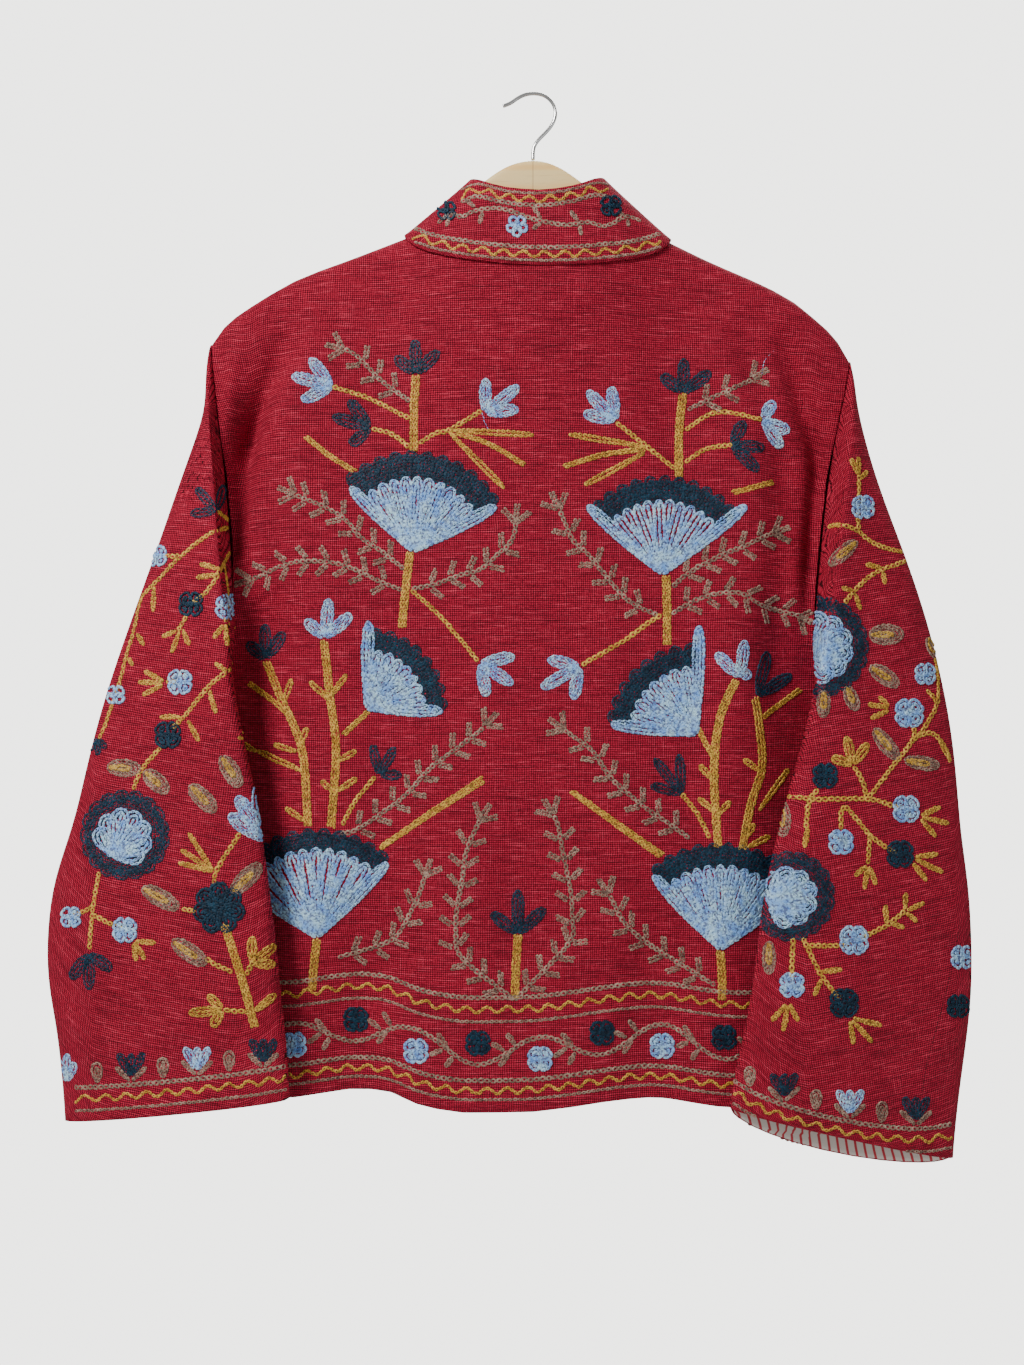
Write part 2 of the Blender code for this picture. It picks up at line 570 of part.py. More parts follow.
def hanger_wood():
    """The hanger's wooden body, cut from one board, its top following the shoulders."""
    tops = []
    for shoulder in (LEFT_SHOULDER, RIGHT_SHOULDER):
        points = [p for p in shoulder_points(shoulder) if WOOD_ARCH_REACH < abs(p[0]) < WOOD_REACH]
        xs, _, zs = np.array(points).T
        slopes = np.gradient(zs, xs)
        drop = (WALL / 2 + WOOD_UNDER_CLOTH) / np.sqrt(1 + slopes**2)
        tops.append([(x + d * m, z - d) for x, z, d, m in zip(xs, zs, drop, slopes)])
    arch_x = np.linspace(WOOD_ARCH[0].x, WOOD_ARCH[-1].x, 17)
    arch = [(x, float(line(WOOD_ARCH, "x", "z", x))) for x in arch_x]
    lower_x = np.linspace(WOOD_REACH, -WOOD_REACH, 21)
    lower = [(x, float(line(WOOD_LOWER, "x", "z", x))) for x in lower_x]
    outline = tops[0] + arch + tops[1][::-1] + lower
    curve = bpy.data.curves.new("hanger_wood", "CURVE")
    curve.dimensions = "2D"
    curve.fill_mode = "BOTH"
    curve.extrude = WOOD_THICK / 2 - WOOD_EDGE
    curve.bevel_depth = WOOD_EDGE
    curve.bevel_resolution = 2
    curve.offset = -WOOD_EDGE
    spline = curve.splines.new("POLY")
    spline.points.add(len(outline) - 1)
    spline.use_cyclic_u = True
    for point, (x, z) in zip(spline.points, outline):
        point.co = (x, z, 0.0, 1.0)
    board = bpy.data.objects.new("hanger_board", curve)
    jacket.objects.link(board)
    board.rotation_euler = (math.pi / 2, 0.0, 0.0)
    return solid_from_curve(board, "hanger_wood", PALE_WOOD)


def hanger_hook():
    """The bent wire hook."""
    curve = bpy.data.curves.new("hanger_hook", "CURVE")
    curve.dimensions = "3D"
    curve.bevel_depth = WIRE / 2
    curve.bevel_resolution = 2
    curve.use_fill_caps = True
    order = range(len(HOOK_PATH))
    fine = np.linspace(0, len(HOOK_PATH) - 1, 37)
    xs = np.interp(fine, order, [p.x for p in HOOK_PATH])
    zs = np.interp(fine, order, [p.z for p in HOOK_PATH])
    for _ in range(2):
        xs[1:-1] = (xs[:-2] + 2 * xs[1:-1] + xs[2:]) / 4
        zs[1:-1] = (zs[:-2] + 2 * zs[1:-1] + zs[2:]) / 4
    spline = curve.splines.new("POLY")
    spline.points.add(len(fine) - 1)
    for point, x, z in zip(spline.points, xs, zs):
        point.co = (x, 0.0, z, 1.0)
    wire = bpy.data.objects.new("hanger_wire", curve)
    jacket.objects.link(wire)
    return solid_from_curve(wire, "hanger_hook", BRIGHT_WIRE)


def solid_from_curve(curve_object, name, finish):
    """A closed mesh of a curve, with its caps welded on."""
    bpy.context.view_layer.update()
    evaluated = curve_object.evaluated_get(bpy.context.evaluated_depsgraph_get())
    mesh = bpy.data.meshes.new_from_object(evaluated)
    mesh.name = name
    weld = bmesh.new()
    weld.from_mesh(mesh)
    bmesh.ops.remove_doubles(weld, verts=weld.verts, dist=0.00002)
    bmesh.ops.recalc_face_normals(weld, faces=weld.faces)
    weld.to_mesh(mesh)
    weld.free()
    mesh.materials.clear()
    mesh.materials.append(material(name + "_finish", finish))
    mesh.shade_smooth()
    piece = bpy.data.objects.new(name, mesh)
    piece.matrix_world = curve_object.matrix_world
    jacket.objects.link(piece)
    bpy.data.objects.remove(curve_object)
    return piece


for old in list(bpy.data.objects):
    bpy.data.objects.remove(old)
jacket = bpy.data.collections.new("suzani_jacket")
bpy.context.scene.collection.children.link(jacket)

left_front_points = panel(front_top(LEFT_SHOULDER), False, LEFT_FRONT_FOLDS)
right_front_points = panel(front_top(RIGHT_SHOULDER), False, RIGHT_FRONT_FOLDS)
left_sleeve_points = sleeve(LEFT_RINGS, LEFT_OVERHANG, LEFT_CREASES, 0.0, RING_SHARES)
right_sleeve_points = sleeve(RIGHT_RINGS, RIGHT_OVERHANG, RIGHT_CREASES, RIGHT_CUFF_SKEW, RING_SHARES)
facing_ring = sleeve(RIGHT_RINGS, RIGHT_OVERHANG, RIGHT_CREASES, RIGHT_CUFF_SKEW, FACING_SHARES)

cloth("back", panel(back_top(), True, BACK_FOLDS), WALL, CLOTH_RED)
cloth("front_left", mirror_columns(left_front_points), WALL, CLOTH_RED)
cloth("front_right", right_front_points, WALL, CLOTH_RED)
cloth("collar", collar(), COLLAR_WALL, CLOTH_RED)
cloth("sleeve_left", mirror_columns(left_sleeve_points), WALL, CLOTH_RED, closed=True)
cloth("sleeve_right", right_sleeve_points, WALL, CLOTH_RED, closed=True)
facing = inset(facing_ring, (WALL + FACING_WALL) / 2 + SEAM_GAP)
cloth("cuff_facing_right", facing[::-1], FACING_WALL, STRIPED_COTTON, closed=True)
hanger_wood()
hanger_hook()
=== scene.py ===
# %% [markdown]
# # A suzani jacket on its hanger
# A short boxy jacket of crimson hand-loomed cotton hangs from a wooden hanger. Chain-stitched
# flowers cover it. The solids in the frame already have the true cut and the largest folds, so
# this lesson only dresses them: thin cloth shells, rows of real chain stitches, wood and wire.

# %% Load the frame
import math
from collections import namedtuple

import bpy
import numpy as np
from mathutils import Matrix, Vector
from mathutils.bvhtree import BVHTree


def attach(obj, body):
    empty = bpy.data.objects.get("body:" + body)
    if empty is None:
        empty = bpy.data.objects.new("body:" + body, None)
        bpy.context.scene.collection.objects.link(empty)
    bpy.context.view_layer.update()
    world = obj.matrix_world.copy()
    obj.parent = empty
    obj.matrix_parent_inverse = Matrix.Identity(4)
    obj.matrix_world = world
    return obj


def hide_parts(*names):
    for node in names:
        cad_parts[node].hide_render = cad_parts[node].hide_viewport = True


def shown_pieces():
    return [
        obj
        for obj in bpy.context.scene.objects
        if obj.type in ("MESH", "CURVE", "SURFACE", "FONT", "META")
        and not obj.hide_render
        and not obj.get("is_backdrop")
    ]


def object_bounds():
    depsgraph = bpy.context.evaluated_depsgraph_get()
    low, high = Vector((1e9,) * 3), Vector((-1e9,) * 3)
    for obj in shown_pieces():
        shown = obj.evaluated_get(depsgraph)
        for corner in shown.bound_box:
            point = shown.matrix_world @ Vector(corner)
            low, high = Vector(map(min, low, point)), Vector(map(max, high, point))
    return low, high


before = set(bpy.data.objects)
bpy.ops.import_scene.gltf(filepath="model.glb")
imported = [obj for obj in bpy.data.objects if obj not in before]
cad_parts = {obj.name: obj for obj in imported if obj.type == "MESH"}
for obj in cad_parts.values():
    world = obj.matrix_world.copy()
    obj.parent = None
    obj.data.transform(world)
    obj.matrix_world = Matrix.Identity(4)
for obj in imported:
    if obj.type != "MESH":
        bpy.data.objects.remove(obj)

cad_low, cad_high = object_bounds()
print("frame:", sorted(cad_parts), "from", tuple(cad_low), "to", tuple(cad_high))

# %% [markdown]
# ## Camera
# The photograph looks straight at the jacket's back from a little over a metre away. One step of
# the photograph is 0.75 mm in the hook's own plane, and the lens follows from that.

# %% Camera
PHOTO_WIDE = 1024
PHOTO_TALL = 1365
STEP = 0.00075
EYE = Vector((-0.01575, -1.1, -0.440625))
SENSOR = 36.0

camera_data = bpy.data.cameras.new("camera")
camera_data.sensor_width = SENSOR
camera_data.lens = SENSOR * abs(EYE.y) / (PHOTO_TALL * STEP)
camera = bpy.data.objects.new("camera", camera_data)
camera.location = EYE
camera.rotation_euler = (math.radians(90), 0, 0)
bpy.context.scene.collection.objects.link(camera)
bpy.context.scene.camera = camera
print("lens", round(camera_data.lens, 2), "mm")

# %% [markdown]
# ## Light and floor
# The jacket hangs against a pale wall in soft daylight that comes from the upper left. An even
# world stands for the wall. It looks brighter than it lights, because a real wall stands only
# behind the jacket. One large lamp gives the direction, and weak ones on the other side and
# behind keep the shadows open. The floor lies below the view.

# %% Light and floor
WALL_COLOUR = (0.80, 0.795, 0.77)
WALL_SEEN = 4.3
ROOM_LIGHT = 0.44
FLOOR_DROP = 0.75

Lamp = namedtuple("Lamp", "name place size power colour")
LAMPS = (
    Lamp("window", (-1.2, -1.6, 1.0), 0.7, 60.0, (1.0, 0.985, 0.96)),
    Lamp("bounce", (1.6, -1.4, -0.6), 1.4, 6.0, (0.95, 0.97, 1.0)),
    Lamp("behind", (0.5, 1.2, 1.1), 1.2, 42.0, (1.0, 0.99, 0.97)),
)


def add_lamp(lamp, target):
    data = bpy.data.lights.new(lamp.name, "AREA")
    data.size = lamp.size
    data.energy = lamp.power
    data.color = lamp.colour
    light = bpy.data.objects.new(lamp.name, data)
    light.location = lamp.place
    light.rotation_euler = (target - light.location).to_track_quat("-Z", "Y").to_euler()
    bpy.context.scene.collection.objects.link(light)


middle = (cad_low + cad_high) / 2
for lamp in LAMPS:
    add_lamp(lamp, middle)

bpy.ops.object.select_all(action="DESELECT")
bpy.ops.mesh.primitive_plane_add(size=2.4, location=(middle.x, 0, cad_low.z - FLOOR_DROP))
floor = bpy.context.object
floor.name = "floor"
floor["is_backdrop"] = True
print("lamps", len(LAMPS), "floor at", round(floor.location.z, 3))

# %% [markdown]
# ## Shader maths
# A weave is a sum of waves, so it reads best as arithmetic. This small class wraps one socket,
# and its operators add Math nodes. `node` makes every other node.

# %% Shader maths
class Wire:
    """One output socket of a node tree, or the tree alone before there is one."""

    def __init__(self, tree, socket=None):
        self.tree = tree
        self.socket = socket

    def node(self, kind, settings=None, out=0, **inputs):
        made = self.tree.nodes.new("ShaderNode" + kind)
        for name, value in (settings or {}).items():
            if name == "stops":
                ramp = made.color_ramp.elements
                while len(ramp) < len(value):
                    ramp.new(0.5)
                for element, (place, colour) in zip(ramp, value):
                    element.position = place
                    element.color = (*colour, 1)
            else:
                setattr(made, name, value)
        for name, value in inputs.items():
            key = int(name[1:]) if name[1:].isdigit() else name.replace("_", " ")
            if isinstance(value, Wire):
                self.tree.links.new(value.socket, made.inputs[key])
            else:
                made.inputs[key].default_value = value
        return Wire(self.tree, made.outputs[out])

    def math(self, operation, first, second=0.0, third=0.0):
        return self.node("Math", {"operation": operation}, i0=first, i1=second, i2=third)

    def __add__(self, other):
        return self.math("ADD", self, other)

    def __sub__(self, other):
        return self.math("SUBTRACT", self, other)

    def __rsub__(self, other):
        return self.math("SUBTRACT", other, self)

    def __mul__(self, other):
        return self.math("MULTIPLY", self, other)

    def __truediv__(self, other):
        return self.math("DIVIDE", self, other)

    __radd__ = __add__
    __rmul__ = __mul__

    def wave(self, period):
        """0 at each multiple of the period and 1 half-way between."""
        return self.math("ABSOLUTE", self.math("SINE", self * (math.pi / period)))

    def ease(self, low, high):
        """0 below low, 1 above high and smooth between."""
        return self.node("MapRange", {"interpolation_type": "SMOOTHSTEP"},
                         i0=self, i1=low, i2=high, i3=0.0, i4=1.0)

    def mix(self, colour_a, colour_b):
        """The first colour where this value is 0, the second where it is 1."""
        return self.node("Mix", {"data_type": "RGBA"}, out=2, i0=self, i6=colour_a, i7=colour_b)


def finish_for(name, **constants):
    """A new material, its Principled shader, and a wire to start from."""
    material = bpy.data.materials.new(name)
    material.use_nodes = True
    tree = material.node_tree
    shader = tree.nodes["Principled BSDF"]
    for socket, value in constants.items():
        shader.inputs[socket.replace("_", " ")].default_value = value
    return material, shader, Wire(tree)


def feed(shader, wire, socket):
    wire.tree.links.new(wire.socket, shader.inputs[socket])


def rgb(red, green, blue):
    return (red, green, blue, 1.0)

# %% [markdown]
# ## Hand-loomed crimson cotton
# The cloth is a plain weave of uneven hand-spun yarn. Painted shade darkens the pin-holes between
# the yarns, and thick slubs run along the weft, lighter in tone and with a painted highlight on
# the yarn crests. The pattern reads the cloth's own map, in metres along its threads, so that it
# follows every fold.

# %% Crimson cloth
YARN = 0.00160
SLUB_LONG = 0.016
SLUB_TALL = 0.0016
SWAY = 0.014
THIN_LONG = 0.030
THIN_TALL = 0.0024
GRAIN_LONG = 0.0022
GRAIN_TALL = 0.0018
PATCH_LONG = 0.045
PATCH_TALL = 0.030
CRIMSON = rgb(0.52, 0.012, 0.045)
# CRIMSON_DARK is painted shade in the pin-holes and thin places of the weave, and a darker tone in
# random patches.
CRIMSON_DARK = rgb(0.035, 0.001, 0.004)
# CRIMSON_BRIGHT is partly the lighter tone of slubs and partly a painted highlight on the yarn
# crests.
CRIMSON_BRIGHT = rgb(1.0, 0.070, 0.140)


def thread_map(wire):
    """Metres along the weft and along the warp."""
    place = wire.node("UVMap", {"uv_map": "threads"})
    return (wire.node("SeparateXYZ", out=0, Vector=place),
            wire.node("SeparateXYZ", out=1, Vector=place))


def noise_at(wire, across, along, across_size, along_size, detail=2.0):
    """Cloudy values on the thread map, longer one way than the other."""
    place = wire.node("CombineXYZ", X=across / across_size, Y=along / along_size)
    return wire.node("TexNoise", Vector=place, Scale=1.0, Detail=detail)


def crimson_cloth():
    material, shader, wire = finish_for("crimson_handloom", Roughness=0.85, Sheen_Weight=0.03,
                                        Sheen_Tint=rgb(0.9, 0.15, 0.2),
                                        Sheen_Roughness=0.5, Specular_IOR_Level=0.15)
    across, along = thread_map(wire)
    sway = noise_at(wire, across, along, SWAY, SWAY)
    across_bent = across + (sway - 0.5) * 0.0018
    along_bent = along + (sway - 0.5) * 0.0014
    warp = across_bent.wave(YARN)
    weft = along_bent.wave(YARN)
    under = (wire.math("SINE", across_bent * (math.pi / YARN))
             * wire.math("SINE", along_bent * (math.pi / YARN))).ease(-0.25, 0.25)
    cloth = warp * (0.45 + 0.55 * weft) * under + weft * (0.45 + 0.55 * warp) * (1.0 - under)
    slub = noise_at(wire, across, along, SLUB_LONG, SLUB_TALL).ease(0.52, 0.68)
    nub = noise_at(wire, across, along, SLUB_TALL, SLUB_LONG).ease(0.56, 0.72)
    thin = noise_at(wire, across, along, THIN_LONG, THIN_TALL).ease(0.50, 0.66)
    grain = noise_at(wire, across, along, GRAIN_LONG, GRAIN_TALL).ease(0.30, 0.70)
    patch = noise_at(wire, across, along, PATCH_LONG, PATCH_TALL, 3.0).ease(0.3, 0.7)
    body = cloth.ease(0.30, 0.62)
    # Painted shade: between the yarn crests the colour falls to CRIMSON_DARK, the shade in the
    # pin-holes.
    shade = (body * (0.72 + 0.60 * grain)).mix(CRIMSON_DARK, CRIMSON)
    # Slubs and nubs are a lighter tone and also carry a painted highlight on the yarn crests.
    shade = ((slub * 0.60 + nub * 0.40 + grain * 0.16) * body).mix(shade, CRIMSON_BRIGHT)
    # Random patches are a darker tone; thin places get painted shade where the gaps between yarns
    # open.
    shade = (patch * 0.14 + thin * 0.30).mix(shade, CRIMSON_DARK)
    feed(shader, shade, "Base Color")
    height = cloth + slub * 0.9 + nub * 0.6 - thin * 0.4
    feed(shader, wire.node("Bump", Height=height, Strength=0.9, Distance=0.00045), "Normal")
    return material


STRIPE_PERIOD = 0.0070
RED_SHARE = 0.38
FINE_YARN = 0.0007


def striped_cotton():
    """Red and off-white stripes that run along the sleeve, on thin smooth cotton."""
    material, shader, wire = finish_for("striped_cotton", Roughness=0.85, Sheen_Weight=0.1)
    across, along = thread_map(wire)
    stripe = (across / STRIPE_PERIOD).wave(1.0)
    red = stripe.ease(RED_SHARE, RED_SHARE + 0.10)
    soft = noise_at(wire, across, along, 0.0008, 0.0008)
    colour = red.mix(rgb(0.55, 0.03, 0.05), rgb(0.74, 0.69, 0.64))
    colour = (soft * 0.25).mix(colour, rgb(0.30, 0.10, 0.10))
    feed(shader, colour, "Base Color")
    weave = across.wave(FINE_YARN) + along.wave(FINE_YARN)
    feed(shader, wire.node("Bump", Height=weave, Strength=0.3, Distance=0.0001), "Normal")
    return material


CLOTH = crimson_cloth()
FACING = striped_cotton()
print("materials", CLOTH.name, FACING.name)

# %% [markdown]
# ## Thread, wood and wire
# The silk thread is softly twisted and catches the light, so it is less rough than the cloth. Its
# tone drifts from stitch to stitch, with painted shade in small gaps between strands. The wood is
# pale and lacquered, with grain along each arm and a fine joint in the middle. The hook is bright
# plated wire.

# %% Thread, wood and wire
THREAD_SHADES = {
    "gold": (rgb(0.56, 0.30, 0.035), rgb(0.84, 0.54, 0.10)),
    "navy": (rgb(0.002, 0.016, 0.038), rgb(0.008, 0.056, 0.105)),
    "pale": (rgb(0.18, 0.42, 0.92), rgb(0.58, 0.86, 1.0)),
    "taupe": (rgb(0.23, 0.135, 0.095), rgb(0.48, 0.34, 0.26)),
    # The seam thread's near-black tone is painted shade along the sleeve seam; the stitches
    # themselves are real.
    "seam": (rgb(0.030, 0.001, 0.004), rgb(0.080, 0.002, 0.010)),
}


def thread(name, dark, light):
    material, shader, wire = finish_for("thread_" + name, Roughness=0.55, Specular_IOR_Level=0.30)
    place = wire.node("TexCoord", out=3)
    drift = wire.node("TexNoise", Vector=place, Scale=160.0, Detail=3.0)
    fibre = wire.node("TexNoise", Vector=place, Scale=2600.0, Detail=2.0)
    colour = (drift * 0.65 + fibre * 0.35).ease(0.32, 0.68).mix(dark, light)
    # Painted shade: noise spots pull the colour to a deep tone of the thread, for the shade in the
    # gaps between strands.
    gap = wire.node("TexNoise", Vector=place, Scale=560.0, Detail=1.0).ease(0.51, 0.59)
    painted_strand_shade = rgb(0.25 * dark[0] + 0.05 * dark[2], 0.20 * dark[1], 0.28 * dark[2])
    feed(shader, (gap * 0.70).mix(colour, painted_strand_shade), "Base Color")
    feed(shader, wire.node("Bump", Height=fibre, Strength=0.5, Distance=0.00025), "Normal")
    return material


def pale_wood():
    material, shader, wire = finish_for("lacquered_wood", Roughness=0.45, Coat_Weight=0.10,
                                        Coat_Roughness=0.3)
    place = wire.node("TexCoord", out=3)
    across = wire.node("SeparateXYZ", out=0, Vector=place)
    grain_place = wire.node("Mapping", Vector=place, Scale=(6.0, 90.0, 90.0))
    rings = wire.node("TexNoise", Vector=grain_place, Scale=1.0, Detail=5.0, Distortion=0.6)
    pores = wire.node("TexNoise", Vector=wire.node("Mapping", Vector=place,
                                                   Scale=(40.0, 900.0, 900.0)),
                      Scale=1.0, Detail=2.0)
    joint = 1.0 - wire.math("ABSOLUTE", across).ease(0.0002, 0.0007)
    colour = rings.ease(0.35, 0.65).mix(rgb(1.0, 0.63, 0.22), rgb(1.0, 0.76, 0.35))
    colour = (pores.ease(0.60, 0.72) * 0.30).mix(colour, rgb(0.50, 0.30, 0.14))
    colour = (joint * 0.45).mix(colour, rgb(0.30, 0.17, 0.08))
    feed(shader, colour, "Base Color")
    feed(shader, wire.node("Bump", Height=rings - joint, Strength=0.25, Distance=0.0002), "Normal")
    return material


def bright_wire():
    material, shader, wire = finish_for("bright_wire", Metallic=1.0)
    place = wire.node("TexCoord", out=3)
    haze = wire.node("TexNoise", Vector=place, Scale=220.0, Detail=3.0)
    feed(shader, haze.mix(rgb(0.62, 0.62, 0.63), rgb(0.80, 0.80, 0.80)), "Base Color")
    feed(shader, 0.10 + 0.16 * haze, "Roughness")
    return material


THREADS = {name: thread(name, *shades) for name, shades in THREAD_SHADES.items()}
WOOD = pale_wood()
CHROME = bright_wire()

world = bpy.data.worlds.new("pale_room")
world.use_nodes = True
room = Wire(world.node_tree)
lit = room.node("Background", Color=(*WALL_COLOUR, 1), Strength=ROOM_LIGHT)
seen = room.node("Background", Color=(*WALL_COLOUR, 1), Strength=WALL_SEEN)
both = room.node("MixShader", i0=room.node("LightPath"), i1=lit, i2=seen)
world.node_tree.links.new(both.socket, world.node_tree.nodes["World Output"].inputs["Surface"])
bpy.context.scene.world = world

floor_finish, floor_shader, floor_wire = finish_for("pale_floor", Roughness=0.9)
floor_cloud = floor_wire.node("TexNoise", Vector=floor_wire.node("TexCoord", out=3), Scale=3.0)
feed(floor_shader, floor_cloud.mix(rgb(0.74, 0.73, 0.71), rgb(0.80, 0.79, 0.77)), "Base Color")
floor.data.materials.append(floor_finish)
print("threads", ", ".join(THREADS))

# %% [markdown]
# ## From solid to cloth
# Each panel's solid already has the real wall and its main folds, but it is faceted. A copy is
# merged, turned back into quads, creased along its cut edges so that hems and seams stay crisp,
# and subdivided into one smooth thin shell.

# %% From solid to cloth
MERGE = 0.00003
CUT_EDGE_ANGLE = math.radians(50)
QUAD_FACE_ANGLE = math.radians(50)
QUAD_SHAPE_ANGLE = math.radians(60)


def smooth_copy(node, name, levels, crease=0.9):
    """A merged and subdivided copy of a CAD node, which it replaces."""
    bpy.ops.object.select_all(action="DESELECT")
    piece = bpy.data.objects.new(name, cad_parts[node].data.copy())
    bpy.context.scene.collection.objects.link(piece)
    bpy.context.view_layer.objects.active = piece
    piece.select_set(True)
    piece.data.materials.clear()
    bpy.ops.object.mode_set(mode="EDIT")
    bpy.ops.mesh.select_all(action="SELECT")
    bpy.ops.mesh.remove_doubles(threshold=MERGE)
    bpy.ops.mesh.tris_convert_to_quads(face_threshold=QUAD_FACE_ANGLE,
                                       shape_threshold=QUAD_SHAPE_ANGLE)
    bpy.ops.mesh.select_all(action="DESELECT")
    bpy.ops.mesh.edges_select_sharp(sharpness=CUT_EDGE_ANGLE)
    bpy.ops.transform.edge_crease(value=crease)
    bpy.ops.object.mode_set(mode="OBJECT")
    finer = piece.modifiers.new("finer", "SUBSURF")
    finer.levels = levels
    finer.render_levels = levels
    bpy.ops.object.modifier_apply(modifier=finer.name)
    piece.data.shade_smooth()
    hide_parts(node)
    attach(piece, "root")
    print(name, "faces", len(piece.data.polygons))
    return piece


def points_of(piece):
    flat = np.empty(len(piece.data.vertices) * 3)
    piece.data.vertices.foreach_get("co", flat)
    return flat.reshape(-1, 3)


def tree_of(piece):
    return BVHTree.FromPolygons([v.co for v in piece.data.vertices],
                                [p.vertices for p in piece.data.polygons])


shells = {
    "back": smooth_copy("back", "back_cloth", 2),
    "front_left": smooth_copy("front_left", "front_left_cloth", 1),
    "front_right": smooth_copy("front_right", "front_right_cloth", 1),
    "sleeve_left": smooth_copy("sleeve_left", "sleeve_left_cloth", 2),
    "sleeve_right": smooth_copy("sleeve_right", "sleeve_right_cloth", 2),
    "collar": smooth_copy("collar", "collar_cloth", 2),
    "cuff_facing_right": smooth_copy("cuff_facing_right", "cuff_facing_right_cloth", 1),
}

# %% [markdown]
# ## Creases one by one
# The photograph shows softer creases between the main folds: drags below the collar, troughs
# beside the armholes and breaks above the hem. Each is one row of a table, a line on the panel
# with its width and height, and moves both faces of the wall together.

# %% Creases one by one
Crease = namedtuple("Crease", "side x_top z_top x_end z_end width height")
NEAR, FAR = -1, 1
CREASES = {
    "back": (
        Crease(NEAR, -0.090, -0.120, -0.150, -0.330, 0.016, -0.0022),
        Crease(NEAR, 0.070, -0.130, 0.120, -0.330, 0.016, -0.0020),
        Crease(NEAR, -0.020, -0.330, -0.050, -0.700, 0.020, 0.0020),
        Crease(NEAR, 0.050, -0.380, 0.070, -0.700, 0.018, 0.0018),
        Crease(NEAR, 0.010, -0.110, 0.000, -0.300, 0.022, 0.0014),
        Crease(NEAR, -0.120, -0.420, -0.100, -0.640, 0.014, -0.0016),
        Crease(NEAR, 0.120, -0.400, 0.110, -0.660, 0.014, -0.0016),
        Crease(NEAR, -0.182, -0.180, -0.231, -0.304, 0.009, -0.0120),
        Crease(NEAR, -0.208, -0.229, -0.226, -0.360, 0.009, -0.0120),
        Crease(NEAR, -0.218, -0.180, -0.230, -0.270, 0.007, 0.0045),
        Crease(NEAR, 0.150, -0.170, 0.196, -0.330, 0.011, -0.0050),
        Crease(NEAR, 0.182, -0.176, 0.221, -0.304, 0.008, -0.0120),
        Crease(NEAR, 0.2135, -0.244, 0.203, -0.409, 0.0075, -0.0115),
        Crease(NEAR, 0.186, -0.250, 0.176, -0.480, 0.012, -0.0060),
        Crease(NEAR, -0.150, -0.165, -0.190, -0.260, 0.010, 0.0026),
        Crease(NEAR, 0.128, -0.165, 0.168, -0.260, 0.010, 0.0024),
    ),
    "front_left": (
        Crease(FAR, -0.080, -0.180, -0.120, -0.420, 0.016, -0.0016),
        Crease(FAR, -0.060, -0.420, -0.070, -0.700, 0.018, 0.0018),
    ),
    "front_right": (
        Crease(FAR, 0.070, -0.180, 0.110, -0.400, 0.016, -0.0016),
        Crease(FAR, 0.060, -0.430, 0.080, -0.700, 0.018, 0.0016),
    ),
}


def press_creases(piece, creases):
    """Soft troughs and ridges, each fading along its length and across its width."""
    points = points_of(piece)
    for crease in creases:
        start = np.array((crease.x_top, crease.z_top))
        reach = np.array((crease.x_end, crease.z_end)) - start
        length = np.hypot(*reach)
        from_start = points[:, (0, 2)] - start
        share = from_start @ reach / length ** 2
        away = (from_start[:, 0] * reach[1] - from_start[:, 1] * reach[0]) / length
        fade = np.where((share > 0) & (share < 1), np.sin(np.pi * np.clip(share, 0, 1)) ** 0.8, 0)
        points[:, 1] += crease.side * crease.height * fade * np.exp(-(away / crease.width) ** 2)
    piece.data.vertices.foreach_set("co", points.ravel())
    piece.data.update()


for name, creases in CREASES.items():
    press_creases(shells[name], creases)
    print(name, "creases", len(creases))

# %% [markdown]
# Below each underarm the sleeve laps a little over the back, so that no light shows between
# them. Only the near half of the sleeve moves.

# %% Lapping the sleeves
Lap = namedtuple("Lap", "x z reach_x reach_z push")
LAPS = {
    "sleeve_left": Lap(-0.2270, -0.404, 0.010, 0.022, 0.0032),
    "sleeve_right": Lap(0.2145, -0.417, 0.010, 0.026, -0.0034),
}
LAP_NEAR = -0.017
LAP_FAR = -0.012


def lap_over(piece, lap):
    points = points_of(piece)
    near = np.clip((points[:, 1] - LAP_FAR) / (LAP_NEAR - LAP_FAR), 0, 1)
    fall = np.exp(-((points[:, 0] - lap.x) / lap.reach_x) ** 2
                  - ((points[:, 2] - lap.z) / lap.reach_z) ** 2)
    points[:, 0] += lap.push * near * fall
    piece.data.vertices.foreach_set("co", points.ravel())
    piece.data.update()
    return int(np.sum(near * fall > 0.1))


for name, lap in LAPS.items():
    print(name, "points lapped", lap_over(shells[name], lap))

# %% [markdown]
# ## A thread map for each panel
# Cloth could be unwrapped, but a folded panel is read here as the weaver would: along one weft
# thread, then along one warp thread, adding up the true distance over every fold. Rays find the
# surface on a fine grid, and the running lengths become the map.

# %% A thread map for each panel
GRID = 0.004
STEEPEST = 2.0


